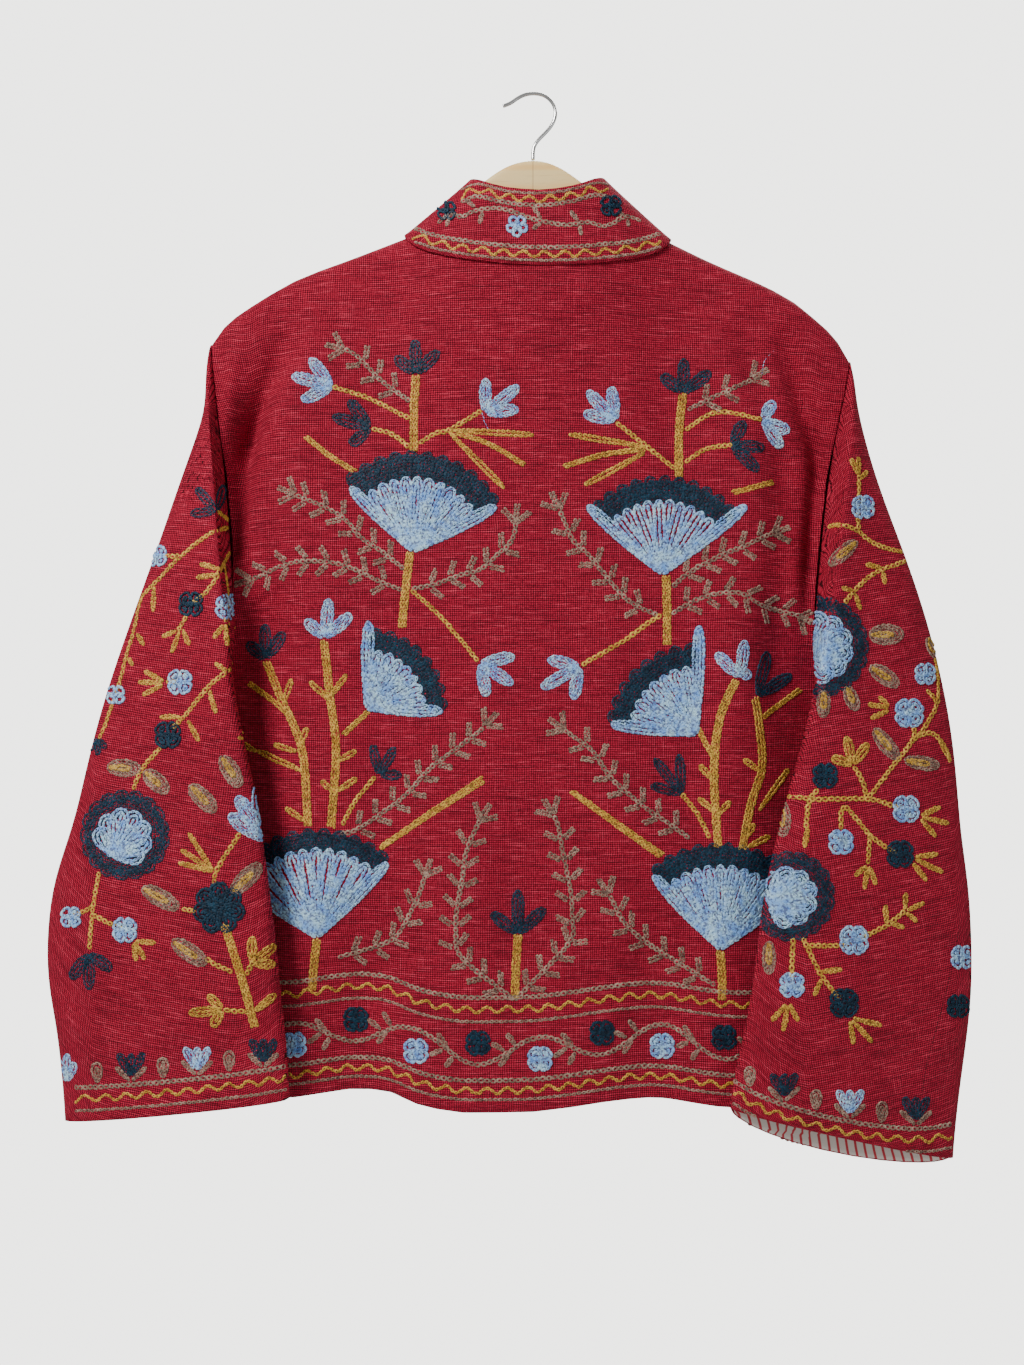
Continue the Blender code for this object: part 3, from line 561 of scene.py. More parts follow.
class Surveyed:
    """Heights of one side of a cloth on a grid, with the lengths along it."""

    def __init__(self, tree, points, side):
        low, high = points.min(axis=0), points.max(axis=0)
        self.xs = np.arange(low[0] + GRID / 4, high[0], GRID)
        self.zs = np.arange(low[2] + GRID / 4, high[2], GRID)
        rows = []
        for z in self.zs:
            hits = [tree.ray_cast(Vector((x, side, z)), Vector((0, -side, 0)))[0] for x in self.xs]
            met = [(x, hit.y) for x, hit in zip(self.xs, hits) if hit]
            if met:
                rows.append(np.interp(self.xs, *zip(*met)))
            else:
                rows.append(rows[-1] if rows else np.zeros(len(self.xs)))
        self.heights = np.array(rows)
        self.across = self.run(np.diff(self.heights, axis=1), 1)
        self.along = self.run(np.diff(self.heights, axis=0), 0)

    def run(self, rises, axis):
        """Length along the surface from the middle of the grid."""
        steps = np.hypot(GRID, np.clip(rises, -STEEPEST * GRID, STEEPEST * GRID))
        pad = [(0, 0), (0, 0)]
        pad[axis] = (1, 0)
        total = np.cumsum(np.pad(steps, pad), axis=axis)
        centre = total.shape[axis] // 2
        return total - np.take(total, [centre], axis=axis)

    def read(self, values, x, z):
        column = np.clip((x - self.xs[0]) / GRID, 0, len(self.xs) - 1.001)
        row = np.clip((z - self.zs[0]) / GRID, 0, len(self.zs) - 1.001)
        i, j = row.astype(int), column.astype(int)
        s, t = row - i, column - j
        return ((values[i, j] * (1 - t) + values[i, j + 1] * t) * (1 - s)
                + (values[i + 1, j] * (1 - t) + values[i + 1, j + 1] * t) * s)


def map_threads(piece, lean=0.0):
    """Writes the map called threads, in metres, turned by the piece's lean in degrees."""
    mesh = piece.data
    points = points_of(piece)
    tree = tree_of(piece)
    sides = [Surveyed(tree, points, side) for side in (NEAR, FAR)]
    corners = np.empty(len(mesh.loops), dtype=int)
    mesh.loops.foreach_get("vertex_index", corners)
    starts = np.empty(len(mesh.polygons), dtype=int)
    mesh.polygons.foreach_get("loop_start", starts)
    counts = np.empty(len(mesh.polygons), dtype=int)
    mesh.polygons.foreach_get("loop_total", counts)
    centres = np.add.reduceat(points[corners], starts) / counts[:, None]
    away = [abs(centres[:, 1] - s.read(s.heights, centres[:, 0], centres[:, 2])) for s in sides]
    is_far = np.repeat(away[1] < away[0], counts)
    x, z = points[corners, 0], points[corners, 2]
    across = np.where(is_far, sides[1].read(sides[1].across, x, z),
                      sides[0].read(sides[0].across, x, z))
    along = np.where(is_far, sides[1].read(sides[1].along, x, z),
                     sides[0].read(sides[0].along, x, z))
    turn = math.radians(lean)
    threads = np.column_stack((across * math.cos(turn) + along * math.sin(turn),
                               along * math.cos(turn) - across * math.sin(turn)))
    layer = mesh.uv_layers.new(name="threads")
    layer.data.foreach_set("uv", threads.ravel())
    print(piece.name, "threads span", np.round(np.ptp(threads, axis=0), 3), "m")


LEANS = {"sleeve_left": -8.0, "sleeve_right": 9.0, "cuff_facing_right": 9.0}
for name, piece in shells.items():
    map_threads(piece, LEANS.get(name, 0.0))
    piece.data.materials.append(FACING if name == "cuff_facing_right" else CLOTH)

# %% [markdown]
# ## The hanger
# The wood and the wire are hard, so their solids only need finer edges. The same copy is used,
# with a softer crease on the wood's edges, as a routed and sanded arm has.

# %% The hanger
wood = smooth_copy("hanger_wood", "hanger_arms", 2, crease=0.6)
wood.data.materials.append(WOOD)

hook = smooth_copy("hanger_hook", "hook_wire", 1, crease=0.9)
hook.data.materials.append(CHROME)

# %% [markdown]
# ## Chain stitch
# Suzani work is rows of chain stitch, each link a little open loop of thread. A link could be a
# curve, but tens of thousands are needed, so one small crater is modelled: a disc, drawn up,
# narrowed, and pushed in at its centre until the cloth shows through. Filled shapes have longer,
# closer links, and single stems have bolder ones. Near the camera a link has seven sides, and on
# the far side five.

# %% Chain stitch
Kind = namedtuple("Kind", "long wide high pitch centre")
LINE = Kind(0.0046, 0.0028, 0.00085, 0.0036, -0.5)
BOLD = Kind(0.0062, 0.0045, 0.00095, 0.0045, -0.85)
FILL = Kind(0.0056, 0.0027, 0.00095, 0.0041, -0.50)
FINE = Kind(0.0034, 0.0007, 0.00030, 0.0028, 0.90)
FAR_STRETCH = 1.22
LINK_SINK = 0.00020
OPENING = 0.60
DIMPLE = 0.85
AT_CENTRE = 0.01
TAPER = 0.35


def model_link(sides):
    """Points and faces of one link, one unit in radius and in height."""
    bpy.ops.object.select_all(action="DESELECT")
    bpy.ops.mesh.primitive_circle_add(vertices=sides, radius=1, fill_type="NGON")
    link = bpy.context.object
    bpy.ops.object.mode_set(mode="EDIT")
    bpy.ops.mesh.select_all(action="SELECT")
    bpy.ops.mesh.extrude_region_move(TRANSFORM_OT_translate={"value": (0, 0, 1)})
    bpy.ops.transform.resize(value=(OPENING, OPENING, 1))
    bpy.ops.mesh.poke()
    bpy.ops.mesh.select_all(action="DESELECT")
    bpy.ops.object.mode_set(mode="OBJECT")
    for vertex in link.data.vertices:
        vertex.select = vertex.co.xy.length < AT_CENTRE and vertex.co.z > 0.5
    bpy.ops.object.mode_set(mode="EDIT")
    bpy.ops.transform.translate(value=(0, 0, -DIMPLE))
    bpy.ops.mesh.select_all(action="SELECT")
    bpy.ops.mesh.normals_make_consistent(inside=False)
    bpy.ops.object.mode_set(mode="OBJECT")
    points = points_of(link) * (0.5, 0.5, 1)
    points[:, 1] *= 1 + TAPER * points[:, 0]
    faces = [tuple(face.vertices) for face in link.data.polygons]
    bpy.data.objects.remove(link)
    print("link of", sides, "sides has", sum(len(face) - 2 for face in faces), "triangles")
    return points, faces


NEAR_LINK = model_link(7)
FAR_LINK = model_link(5)

# %% [markdown]
# ## Rows on the chart
# The embroidery is drawn as on a maker's chart, in the photograph's own steps, across and down.
# Numbers of the form across + down j turn and scale a motif in one product. Every motif below is
# made of rows: single stems, loops within loops for petals, and zigzags.

# %% Rows on the chart
Row = namedtuple("Row", "colour path layer kind motif")
ROW_GAP = 3.2
STEM_GAP = 2.8
LEAF_GAP = 3.2
SAMPLE = 2.0
PAIR_LEAN = math.radians(52)
TIP_LEAN = math.radians(48)
RAY_ROOTS = (0.02, 0.42)
GUARD_WIDE = 12.5
LOBE_WIDE = 17.0
LOBE_DEEP = 15
RIB_WIDE = 7.0


def spot(place):
    return complex(*place) if isinstance(place, tuple) else complex(place)


def curve(*places):
    """A smooth line through the places, sampled finely."""
    knots = np.array([spot(place) for place in places])
    if len(knots) == 2:
        count = max(3, int(abs(knots[1] - knots[0]) / SAMPLE))
        return np.linspace(knots[0], knots[1], count)
    padded = np.concatenate(([2 * knots[0] - knots[1]], knots, [2 * knots[-1] - knots[-2]]))
    spans = []
    for a, b, c, d in zip(padded, padded[1:], padded[2:], padded[3:]):
        t = np.linspace(0, 1, max(2, int(abs(c - b) / SAMPLE)), endpoint=False)
        spans.append(0.5 * (2 * b + (c - a) * t + (2 * a - 5 * b + 4 * c - d) * t ** 2
                            + (3 * b - a - 3 * c + d) * t ** 3))
    return np.concatenate(spans + [knots[-1:]])


def beside(path, offset):
    """The same line moved sideways."""
    run = np.gradient(path)
    return path + 1j * run / np.maximum(abs(run), 1e-9) * offset


class Chart:
    """Rows of one garment piece, added motif by motif."""

    def __init__(self):
        self.rows = []
        self.motif = 0

    def row(self, colour, path, layer=0, kind=LINE):
        self.rows.append(Row(colour, path, layer, kind, self.motif))

    def stem(self, *places, rows=1, start=1.0):
        """Parallel gold rows, narrower at the first place where start is under 1."""
        self.motif += 1
        path = curve(*places)
        widen = np.linspace(start, 1, len(path))
        for index in range(rows):
            self.row("gold", beside(path, (index - (rows - 1) / 2) * STEM_GAP * widen),
                     kind=BOLD if rows == 1 else FILL)

    def loops(self, colour, base, tip, wide, fat=0.35, layer=0):
        """A petal from base to tip: loops inside one another, and a row down the middle."""
        base, tip = spot(base), spot(tip)
        long = abs(tip - base)
        ahead = (tip - base) / long
        margin = ROW_GAP / 2
        kind = FILL if wide > 2.4 * ROW_GAP else LINE
        while wide / 2 - margin > 0.35 * ROW_GAP and long > 2 * margin:
            count = max(9, int((2 * long + wide) / SAMPLE))
            turn = np.linspace(0, 2 * math.pi, count)
            share = 0.5 - 0.5 * np.cos(turn)
            half = (wide / 2 - margin) * np.sin(turn) * (1 + fat * (share - 0.5) * 2)
            self.row(colour, base + ahead * (margin + share * (long - 2 * margin) + 1j * half),
                     layer, kind)
            margin += ROW_GAP
        if wide / 2 - margin > -0.3 * ROW_GAP and long > 2 * margin:
            self.row(colour, curve(base + ahead * margin, tip - ahead * margin), layer, kind)

    def twig(self, base, tip, wide=7.0, colour="gold"):
        self.motif += 1
        self.loops(colour, base, tip, wide)

    def twigs(self, *pairs, wide=7.0, colour="gold"):
        """A twig for each pair of its tip and its root."""
        for tip, root in pairs:
            self.twig(root, tip, wide, colour)

    def tulip(self, colour, base, tips, wide=13.5):
        """Three broad petals from one point."""
        self.motif += 1
        for tip in tips:
            self.loops(colour, base, tip, wide, fat=0.2)

    def blade(self, base, ahead, long):
        """A slender leaf, two rows side by side."""
        for offset in (-LEAF_GAP / 2, LEAF_GAP / 2):
            self.row("taupe", beside(curve(base, base + ahead * long), offset))

    def sprig(self, *places, leaf=19.0, gap=20.5):
        """A taupe stem with pairs of small leaves and three at its end."""
        self.motif += 1
        path = curve(*places)
        run = np.concatenate(([0], np.cumsum(abs(np.diff(path)))))
        path = path[run < run[-1] - leaf * 0.7]
        run = run[:len(path)]
        self.row("taupe", path, kind=BOLD)
        heading = np.gradient(path)
        for along in np.arange(gap * 0.8, run[-1] - gap * 0.7, gap):
            index = int(np.searchsorted(run, along))
            ahead = heading[index] / abs(heading[index])
            for side in (-1, 1):
                lean = ahead * np.exp(1j * side * PAIR_LEAN)
                self.blade(path[index] + lean * LEAF_GAP, lean, leaf - LEAF_GAP)
        ahead = heading[-1] / abs(heading[-1])
        for side in (-1, 0, 1):
            lean = ahead * np.exp(1j * side * TIP_LEAN)
            self.blade(path[-1], lean, leaf)

    def fan(self, apex, left, right, inner, outer, rays=10):
        """A great flower seen from its side, its left and right guard petals at their tips."""
        self.motif += 1
        apex, left, right = spot(apex), spot(left), spot(right)
        start = np.angle(left - apex)
        sweep = np.angle((right - apex) / (left - apex))
        step = sweep / (rays + 1)
        for index in range(rays):
            ray = np.exp(1j * (start + step * (index + 1)))
            self.loops("pale", apex + ray * inner * RAY_ROOTS[index % 2], apex + ray * inner,
                       abs(step) * inner * 0.98, fat=0.80, layer=1)
        self.arcs("navy", apex, np.arange(inner * 0.96, outer - 6, ROW_GAP),
                  start + step * 0.15, start + sweep - step * 0.15)
        for index in range(rays + 1):
            ray = np.exp(1j * (start + step * (index + 0.5)))
            self.loops("navy", apex + ray * (inner * 0.93), apex + ray * outer,
                       abs(step) * outer * 1.02, fat=0.1)
        for guard in (left, right):
            self.loops("pale", apex, guard, GUARD_WIDE, fat=0.6, layer=1)

    def arcs(self, colour, centre, radii, start, end):
        """Filled rows round a centre."""
        for radius in radii:
            count = max(8, int(abs(end - start) * radius / SAMPLE))
            self.row(colour, centre + radius * np.exp(1j * np.linspace(start, end, count)),
                     kind=FILL)

    def flower(self, colour, centre, size, petals=4, turn=45.0):
        """Small round petals about a centre."""
        centre = spot(centre)
        for index in range(petals):
            ray = np.exp(1j * math.radians(turn + 360.0 * index / petals))
            self.loops(colour, centre + ray * 1.0, centre + ray * size,
                       size * 2.05 * math.sin(math.pi / petals) * 0.80, fat=0.45, layer=1)
        self.loops(colour, centre - size * 0.36, centre + size * 0.36, size * 0.5, layer=2)

    def leaf(self, base, tip, wide=19.0):
        """A taupe almond with a gold rib."""
        base, tip = spot(base), spot(tip)
        self.loops("taupe", base, tip, wide, fat=0.0)
        self.loops("gold", base + (tip - base) * 0.04, base + (tip - base) * 0.74, RIB_WIDE,
                   layer=1)

    def rosette(self, centre, outer, inner, root, aim, reach=120.0, petals=7,
                spread=(0.0, 360.0)):
        """A navy ring of lobes round pale petals that open from a root near its rim."""
        centre, root = spot(centre), spot(root)
        start, end = (math.radians(angle) for angle in spread)
        self.arcs("navy", centre, np.arange(inner * 0.7, outer - 7, ROW_GAP), start, end)
        lobes = max(5, round((end - start) * outer / LOBE_WIDE))
        step = (end - start) / lobes
        for index in range(lobes):
            ray = np.exp(1j * (start + step * (index + 0.5)))
            self.loops("navy", centre + ray * (outer - LOBE_DEEP), centre + ray * outer,
                       step * outer * 1.02, fat=0.3)
        step = math.radians(2 * reach / petals)
        for index in range(petals):
            ray = np.exp(1j * (math.radians(aim - reach) + step * (index + 0.5)))
            self.loops("pale", root, centre + ray * inner, step * inner * 1.08, fat=0.75, layer=1)

    def zigzag(self, path, period=20.5, half=4.3):
        run = np.concatenate(([0], np.cumsum(abs(np.diff(path)))))
        self.row("gold", beside(path, half * (4 * abs((run / period) % 1 - 0.5) - 1)))


print("rows are", ROW_GAP * STEP * 1000, "mm apart")

# %% [markdown]
# ## The back
# The motifs mirror each other loosely about the middle, as hand work does: tulips on thick gold
# stems, great fans, and taupe sprigs between them.

# %% Back, upper left
back = Chart()
back.tulip("navy", (416, 374), ((415, 338), (394, 356), (440, 350)))
back.stem((416, 374), (414, 412), (414, 451), rows=3)
back.sprig((410, 401), (384, 383), (368, 367), (351, 352), (328, 346))
back.tulip("pale", (333, 387), ((309, 357), (290, 375), (300, 401)))
back.stem((333, 387), (368, 398), (410, 419))
back.tulip("navy", (371, 428), ((348, 399), (331, 416), (349, 446)))
back.stem((372, 429), (392, 434), (410, 448))
back.stem((305, 436), (330, 456), (356, 472), rows=2)
back.stem((418, 444), (436, 433), (449, 430), (481, 411))
back.tulip("pale", (485, 413), ((486, 377), (520, 385), (520, 409)))
back.twig((451, 430), (536, 435))
back.stem((449, 431), (487, 443), (525, 465), rows=2)
back.twig((449, 432), (506, 490))
back.fan((413, 552), (349, 486), (498, 505), 77, 103)
back.sprig((404, 569), (377, 548), (361, 538), (347, 521), (327, 508), (303, 498), (282, 489))
back.sprig((402, 590), (374, 579), (356, 570), (335, 563), (307, 561), (281, 566), (258, 577),
           (238, 583))
back.sprig((412, 589), (436, 584), (457, 576), (481, 569), (497, 555), (513, 538), (517, 508))
back.stem((410, 552), (406, 585), (402, 628), rows=3)
back.stem((411, 590), (436, 612), (459, 638), (478, 661))
back.tulip("pale", (480, 663), ((516, 656), (514, 685), (487, 698)))

# %% Back, lower left
back.tulip("navy", (266, 659), ((265, 623), (246, 642), (285, 631)))
back.stem((266, 660), (280, 696), (302, 750), (308, 826), rows=3)
back.tulip("pale", (325, 638), ((329, 597), (304, 619), (353, 613)))
back.stem((324, 640), (330, 696), (336, 750), (331, 828), rows=3)
BACK_LEFT_TWIGS = (
    ((308, 680), (329, 700)), ((348, 673), (330, 697)), ((358, 750), (336, 762)),
    ((319, 779), (334, 792)), ((359, 777), (335, 792)), ((292, 677), (283, 706)),
    ((308, 725), (299, 748)), ((272, 744), (298, 752)), ((256, 750), (304, 772)),
    ((236, 741), (258, 752)), ((284, 807), (306, 822)),
)
back.twigs(*BACK_LEFT_TWIGS)
back.stem((343, 735), (357, 722), (369, 711), rows=2)
back.stem((249, 683), (272, 700), (290, 716), rows=2)
back.fan((366, 709), (369, 620), (444, 711), 62, 83, rays=7)
back.sprig((341, 834), (356, 830), (382, 813), (408, 793), (419, 780), (434, 765), (457, 748),
           (477, 733), (495, 715))
back.tulip("navy", (379, 775), ((372, 743), (396, 746), (403, 775)), wide=11.0)
back.stem((375, 777), (356, 800), (341, 827))
back.stem((380, 848), (430, 814), (484, 779), rows=3, start=0.5)
back.fan((317, 938), (243, 882), (389, 861), 92, 111, rays=10)
back.stem((317, 938), (314, 965), (312, 990), rows=3)
back.sprig((336, 958), (386, 943), (401, 930), (410, 913), (419, 895), (430, 861))

# %% Back, centre
back.sprig((515, 1000), (462, 958), (456, 932), (457, 908), (462, 880), (466, 852), (477, 826),
           (488, 809))
back.sprig((515, 1000), (569, 943), (572, 919), (571, 895), (567, 872), (562, 848), (557, 822),
           (545, 803))
back.tulip("navy", (518, 934), ((518, 888), (490, 912), (546, 907)), wide=13.5)
back.stem((518, 934), (516, 968), (515, 998), rows=3)

# %% Back, upper right
back.tulip("navy", (683, 393), ((684, 357), (660, 374), (712, 371)))
back.stem((683, 393), (679, 432), (679, 477), rows=3)
back.sprig((688, 410), (718, 395), (732, 389), (747, 382), (765, 371))
back.tulip("pale", (616, 421), ((586, 390), (611, 385), (582, 413)))
back.stem((675, 469), (649, 448), (616, 422))
back.twig((647, 447), (567, 434))
back.stem((645, 449), (602, 455), (563, 467), rows=2)
back.twig((646, 452), (583, 486))
back.stem((686, 430), (706, 416), (726, 412), (763, 420))
back.tulip("pale", (762, 420), ((775, 400), (791, 432), (783, 449)))
back.stem((684, 463), (706, 449), (732, 445))
back.tulip("navy", (731, 445), ((745, 420), (766, 448), (760, 472)))
back.stem((732, 493), (773, 482), rows=2)
back.fan((662, 575), (586, 504), (748, 504), 77, 101)
back.sprig((657, 615), (632, 603), (615, 587), (602, 571), (588, 554), (573, 540), (564, 520),
           (553, 496))
back.sprig((673, 587), (683, 577), (702, 565), (726, 553), (745, 546), (761, 538), (788, 528))
back.sprig((671, 614), (694, 601), (716, 594), (741, 593), (757, 603), (775, 610), (796, 615),
           (812, 624))
back.stem((666, 575), (667, 606), (667, 645), rows=3)
back.stem((662, 614), (645, 625), (628, 638), (582, 665))
back.tulip("pale", (580, 666), ((546, 659), (540, 689), (573, 701)))

# %% Back, lower right
back.fan((697, 735), (609, 724), (699, 624), 71, 93, rays=7)
back.tulip("pale", (740, 678), ((715, 652), (745, 639), (752, 671)))
back.stem((736, 680), (720, 718), (714, 772), (718, 848), rows=3)
back.tulip("navy", (757, 696), ((768, 650), (793, 674)))
back.stem((755, 697), (759, 724), (762, 767), (751, 804), (742, 850), rows=3)
back.stem((762, 718), (780, 704), (801, 689), rows=2)
back.stem((713, 756), (705, 742), (698, 728), rows=2)
BACK_RIGHT_TWIGS = (
    ((698, 763), (714, 782)), ((697, 797), (715, 812)), ((732, 800), (716, 816)),
    ((742, 758), (761, 772)), ((755, 822), (747, 838)), ((790, 767), (758, 812)),
    ((772, 835), (746, 848)),
)
back.twigs(*BACK_RIGHT_TWIGS)
back.tulip("navy", (682, 794), ((653, 757), (679, 753), (649, 785)), wide=11.0)
back.stem((682, 794), (698, 815), (710, 839))
back.sprig((690, 839), (670, 824), (653, 813), (636, 800), (618, 785), (605, 770), (592, 750),
           (571, 735), (552, 721))
back.stem((571, 791), (614, 822), (662, 856), rows=3, start=0.5)
back.fan((720, 950), (652, 874), (800, 885), 87, 109, rays=10)
back.stem((720, 950), (722, 975), (722, 1000), rows=3)
back.sprig((715, 985), (653, 947), (636, 934), (623, 921), (612, 900), (600, 882))

# %% [markdown]
# Two pale ends of thread were never trimmed.

# %% Loose ends
back.row("pale", curve((762, 375), (765, 360), (774, 351)), kind=FINE)
back.row("pale", curve((482, 412), (484, 421), (489, 430)), kind=FINE)
print("back rows", len(back.rows))

# %% [markdown]
# ## The sleeves
# Each sleeve has two navy rosettes, little flowers on branching gold stems, and leaves with a
# gold rib. The rosettes are cut by the seams, so their rows simply stop where the cloth ends.

# %% Left sleeve, upper
left = Chart()
left.tulip("navy", (217, 511), ((189, 514), (195, 487), (224, 484)), wide=11.0)
left.stem((217, 511), (230, 521))
left.stem((230, 527), (209, 534), (179, 558), (157, 581), (141, 599), (134, 630),
          (126, 656), (119, 684), (105, 725), (98, 741))
left.tulip("navy", (98, 738), ((88, 752), (98, 757), (107, 750)), wide=8.0)
left.flower("pale", (157, 556), 12)
left.flower("pale", (116, 695), 11)
LEFT_TWIGS = (
    ((153, 614), (154, 585)), ((145, 647), (136, 632)), ((134, 667), (127, 656)),
    ((198, 563), (222, 570)), ((194, 578), (220, 574)), ((160, 638), (178, 630)),
    ((171, 655), (180, 630)), ((190, 647), (182, 628)), ((212, 640), (224, 624)),
    ((228, 648), (225, 623)), ((242, 633), (227, 622)), ((213, 662), (228, 672)),
    ((142, 670), (165, 682)), ((136, 682), (164, 683)), ((141, 696), (164, 684)),
    ((216, 715), (209, 689)), ((158, 717), (182, 717)), ((200, 743), (187, 719)),
    ((237, 740), (253, 729)),
)
left.twigs(*LEFT_TWIGS, wide=6.0)
left.stem((179, 556), (163, 556))
left.stem((232, 548), (224, 563), (208, 590), (191, 604))
left.stem((224, 563), (228, 590), (228, 607))
left.flower("navy", (191, 604), 14)
left.flower("pale", (228, 607), 14)
left.stem((188, 614), (178, 630))
left.stem((228, 616), (224, 624))
left.stem((245, 662), (239, 663), (209, 686), (184, 717), (172, 728))
left.stem((165, 682), (176, 682))
left.flower("pale", (180, 682), 14)
left.flower("navy", (168, 735), 15)
left.stem((161, 747), (142, 769), (133, 790))

# %% Left sleeve, lower
for base, tip in (((106, 767), (142, 769)), ((143, 770), (169, 793)), ((221, 755), (241, 788)),
                  ((189, 784), (217, 813)), ((231, 894), (262, 863)), ((141, 887), (180, 909)),
                  ((171, 940), (208, 965))):
    left.leaf(base, tip)
left.stem((205, 958), (218, 966), (232, 972))
left.rosette((125, 835), 46, 28, (112, 858), -60.0)
left.tulip("pale", (267, 841), ((228, 814), (236, 795), (256, 784)), wide=17.0)
left.stem((241, 832), (217, 869), (214, 884))
LEFT_ROSETTE_TWIGS = (
    ((187, 831), (214, 872)), ((179, 848), (214, 872)), ((176, 862), (214, 872)),
)
left.twigs(*LEFT_ROSETTE_TWIGS, wide=6.0)
left.flower("navy", (219, 908), 27, petals=7, turn=12.0)
left.tulip("pale", (67, 1082), ((58, 1058), (67, 1052), (76, 1061)), wide=10.0)
left.stem((180, 909), (195, 911))
left.stem((99, 872), (93, 907), (89, 950))
left.stem((93, 907), (82, 912), (71, 917))
left.stem((93, 915), (110, 924), (125, 930))
left.flower("pale", (71, 917), 12)
left.flower("pale", (125, 930), 14)
LEFT_FLOWER_TWIGS = (
    ((158, 943), (134, 941)), ((146, 961), (134, 941)), ((136, 963), (134, 941)),
)
left.twigs(*LEFT_FLOWER_TWIGS, wide=6.0)
left.tulip("navy", (89, 953), ((70, 980), (89, 991), (113, 971)))
left.stem((224, 924), (241, 976), (255, 1027), rows=3)
left.stem((246, 975), (254, 960))
left.tulip("gold", (252, 964), ((252, 935), (277, 944), (277, 964)), wide=11.0)
left.stem((222, 1010), (250, 1012))
left.tulip("gold", (223, 1010), ((207, 994), (187, 1013), (211, 1028)), wide=11.0)
left.loops("gold", (254, 1012), (277, 993), 9.0)
print("left sleeve rows", len(left.rows))

# %% Right sleeve, upper
right = Chart()
right.stem((859, 530), (858, 518), (859, 494), (859, 475))
RIGHT_UPPER_TWIGS = (
    ((850, 457), (859, 476)), ((858, 455), (859, 476)), ((869, 470), (859, 480)),
    ((864, 564), (883, 568)), ((885, 586), (883, 570)), ((840, 587), (854, 591)),
    ((861, 612), (855, 592)), ((877, 695), (890, 707)), ((866, 704), (890, 708)),
    ((869, 719), (890, 710)), ((951, 761), (938, 738)),
)
right.twigs(*RIGHT_UPPER_TWIGS, wide=6.0)
right.flower("pale", (863, 507), 13)
right.stem((827, 527), (842, 525), (858, 531), (875, 544), (902, 552))
right.leaf((858, 540), (828, 566), 15.0)
right.stem((906, 561), (883, 569), (869, 577), (854, 591), (845, 603))
right.rosette((818, 647), 52, 36, (808, 656), -8.0, 92.0, petals=6, spread=(-100.0, 100.0))
right.leaf((868, 635), (905, 634), 22.0)
right.leaf((869, 666), (900, 686), 18.0)
right.leaf((846, 685), (857, 712), 15.0)
right.leaf((824, 689), (823, 719), 15.0)
right.leaf((927, 636), (937, 660), 12.0)
right.flower("pale", (925, 674), 12)
right.flower("pale", (909, 713), 16)
right.stem((927, 690), (937, 703), (930, 718), (921, 733), (913, 740))
right.stem((935, 657), (938, 680), (938, 703))
right.stem((913, 727), (914, 738), (893, 766), (868, 798))
right.stem((915, 737), (932, 733), (946, 748), (950, 762))
right.leaf((873, 728), (899, 760), 17.0)
right.leaf((903, 760), (941, 766), 15.0)

# %% Right sleeve, lower
right.tulip("gold", (853, 765), ((846, 735), (830, 757), (869, 742)), wide=11.0)
right.stem((853, 765), (862, 780), (867, 798))
right.stem((784, 796), (816, 799), (868, 799), (893, 806), (903, 808))
right.flower("pale", (906, 809), 15)
RIGHT_LOWER_TWIGS = (
    ((942, 806), (920, 816)), ((951, 824), (921, 817)), ((937, 838), (920, 818)),
    ((940, 854), (914, 857)), ((945, 873), (914, 859)), ((928, 882), (912, 862)),
    ((853, 877), (868, 865)), ((864, 891), (868, 866)), ((877, 887), (869, 865)),
    ((885, 903), (887, 925)), ((906, 928), (890, 923)), ((906, 890), (905, 911)),
    ((926, 902), (906, 911)), ((919, 923), (905, 912)), ((844, 969), (820, 972)),
    ((813, 998), (822, 978)), ((884, 1026), (852, 1018)), ((874, 1044), (851, 1019)),
    ((854, 1046), (850, 1020)), ((770, 1023), (787, 1003)), ((783, 1033), (788, 1004)),
    ((799, 1023), (789, 1003)), ((804, 850), (808, 826)),
)
right.twigs(*RIGHT_LOWER_TWIGS, wide=6.0)
right.flower("navy", (825, 776), 14)
right.stem((818, 789), (809, 801), (806, 828))
right.leaf((783, 800), (783, 838), 17.0)
right.flower("pale", (841, 842), 14)
right.stem((841, 830), (844, 806), (870, 835), (887, 848), (896, 853))
right.flower("navy", (900, 854), 15)
right.stem((870, 835), (868, 865))
right.rosette((790, 896), 46, 29, (768, 905), -18.0)
right.leaf((769, 940), (769, 976), 15.0)
right.stem((809, 946), (844, 945), (854, 940), (865, 936), (887, 925), (905, 911))
right.flower("pale", (854, 940), 16)
right.stem((803, 938), (819, 971), (833, 991), (842, 1000))
right.flower("navy", (844, 1003), 16)
right.stem((793, 938), (792, 969), (792, 985))
right.flower("pale", (792, 985), 14)
right.flower("pale", (962, 957), 13)
right.flower("navy", (958, 1006), 13)
# Seam stitches down the right sleeve: real stitches, with painted shade in their near-black tone.
right.row("seam", curve((960, 924), (952, 966), (940, 1015), (927, 1064), (920, 1104)),
          kind=FINE)
print("right sleeve rows", len(right.rows))

# %% [markdown]
# ## Borders
# Bands of taupe chain and gold zigzag follow the hem, the cuffs and the collar, so their lines
# are found from the cloth's own edge and not drawn. Between them runs a vine with flowers on
# alternate sides, and over each cuff stands a row of small tulips.

# %% Looking at the cloth
EDGE_STEPS = 40
HALVINGS = 8
COLUMN_STEP = 4.0
SMOOTH_OVER = 5


def through(place):
    """The ray of the photograph's view through a place on the chart."""
    return Vector(((place.real - PHOTO_WIDE / 2) * STEP, -EYE.y,
                   (PHOTO_TALL / 2 - place.imag) * STEP))


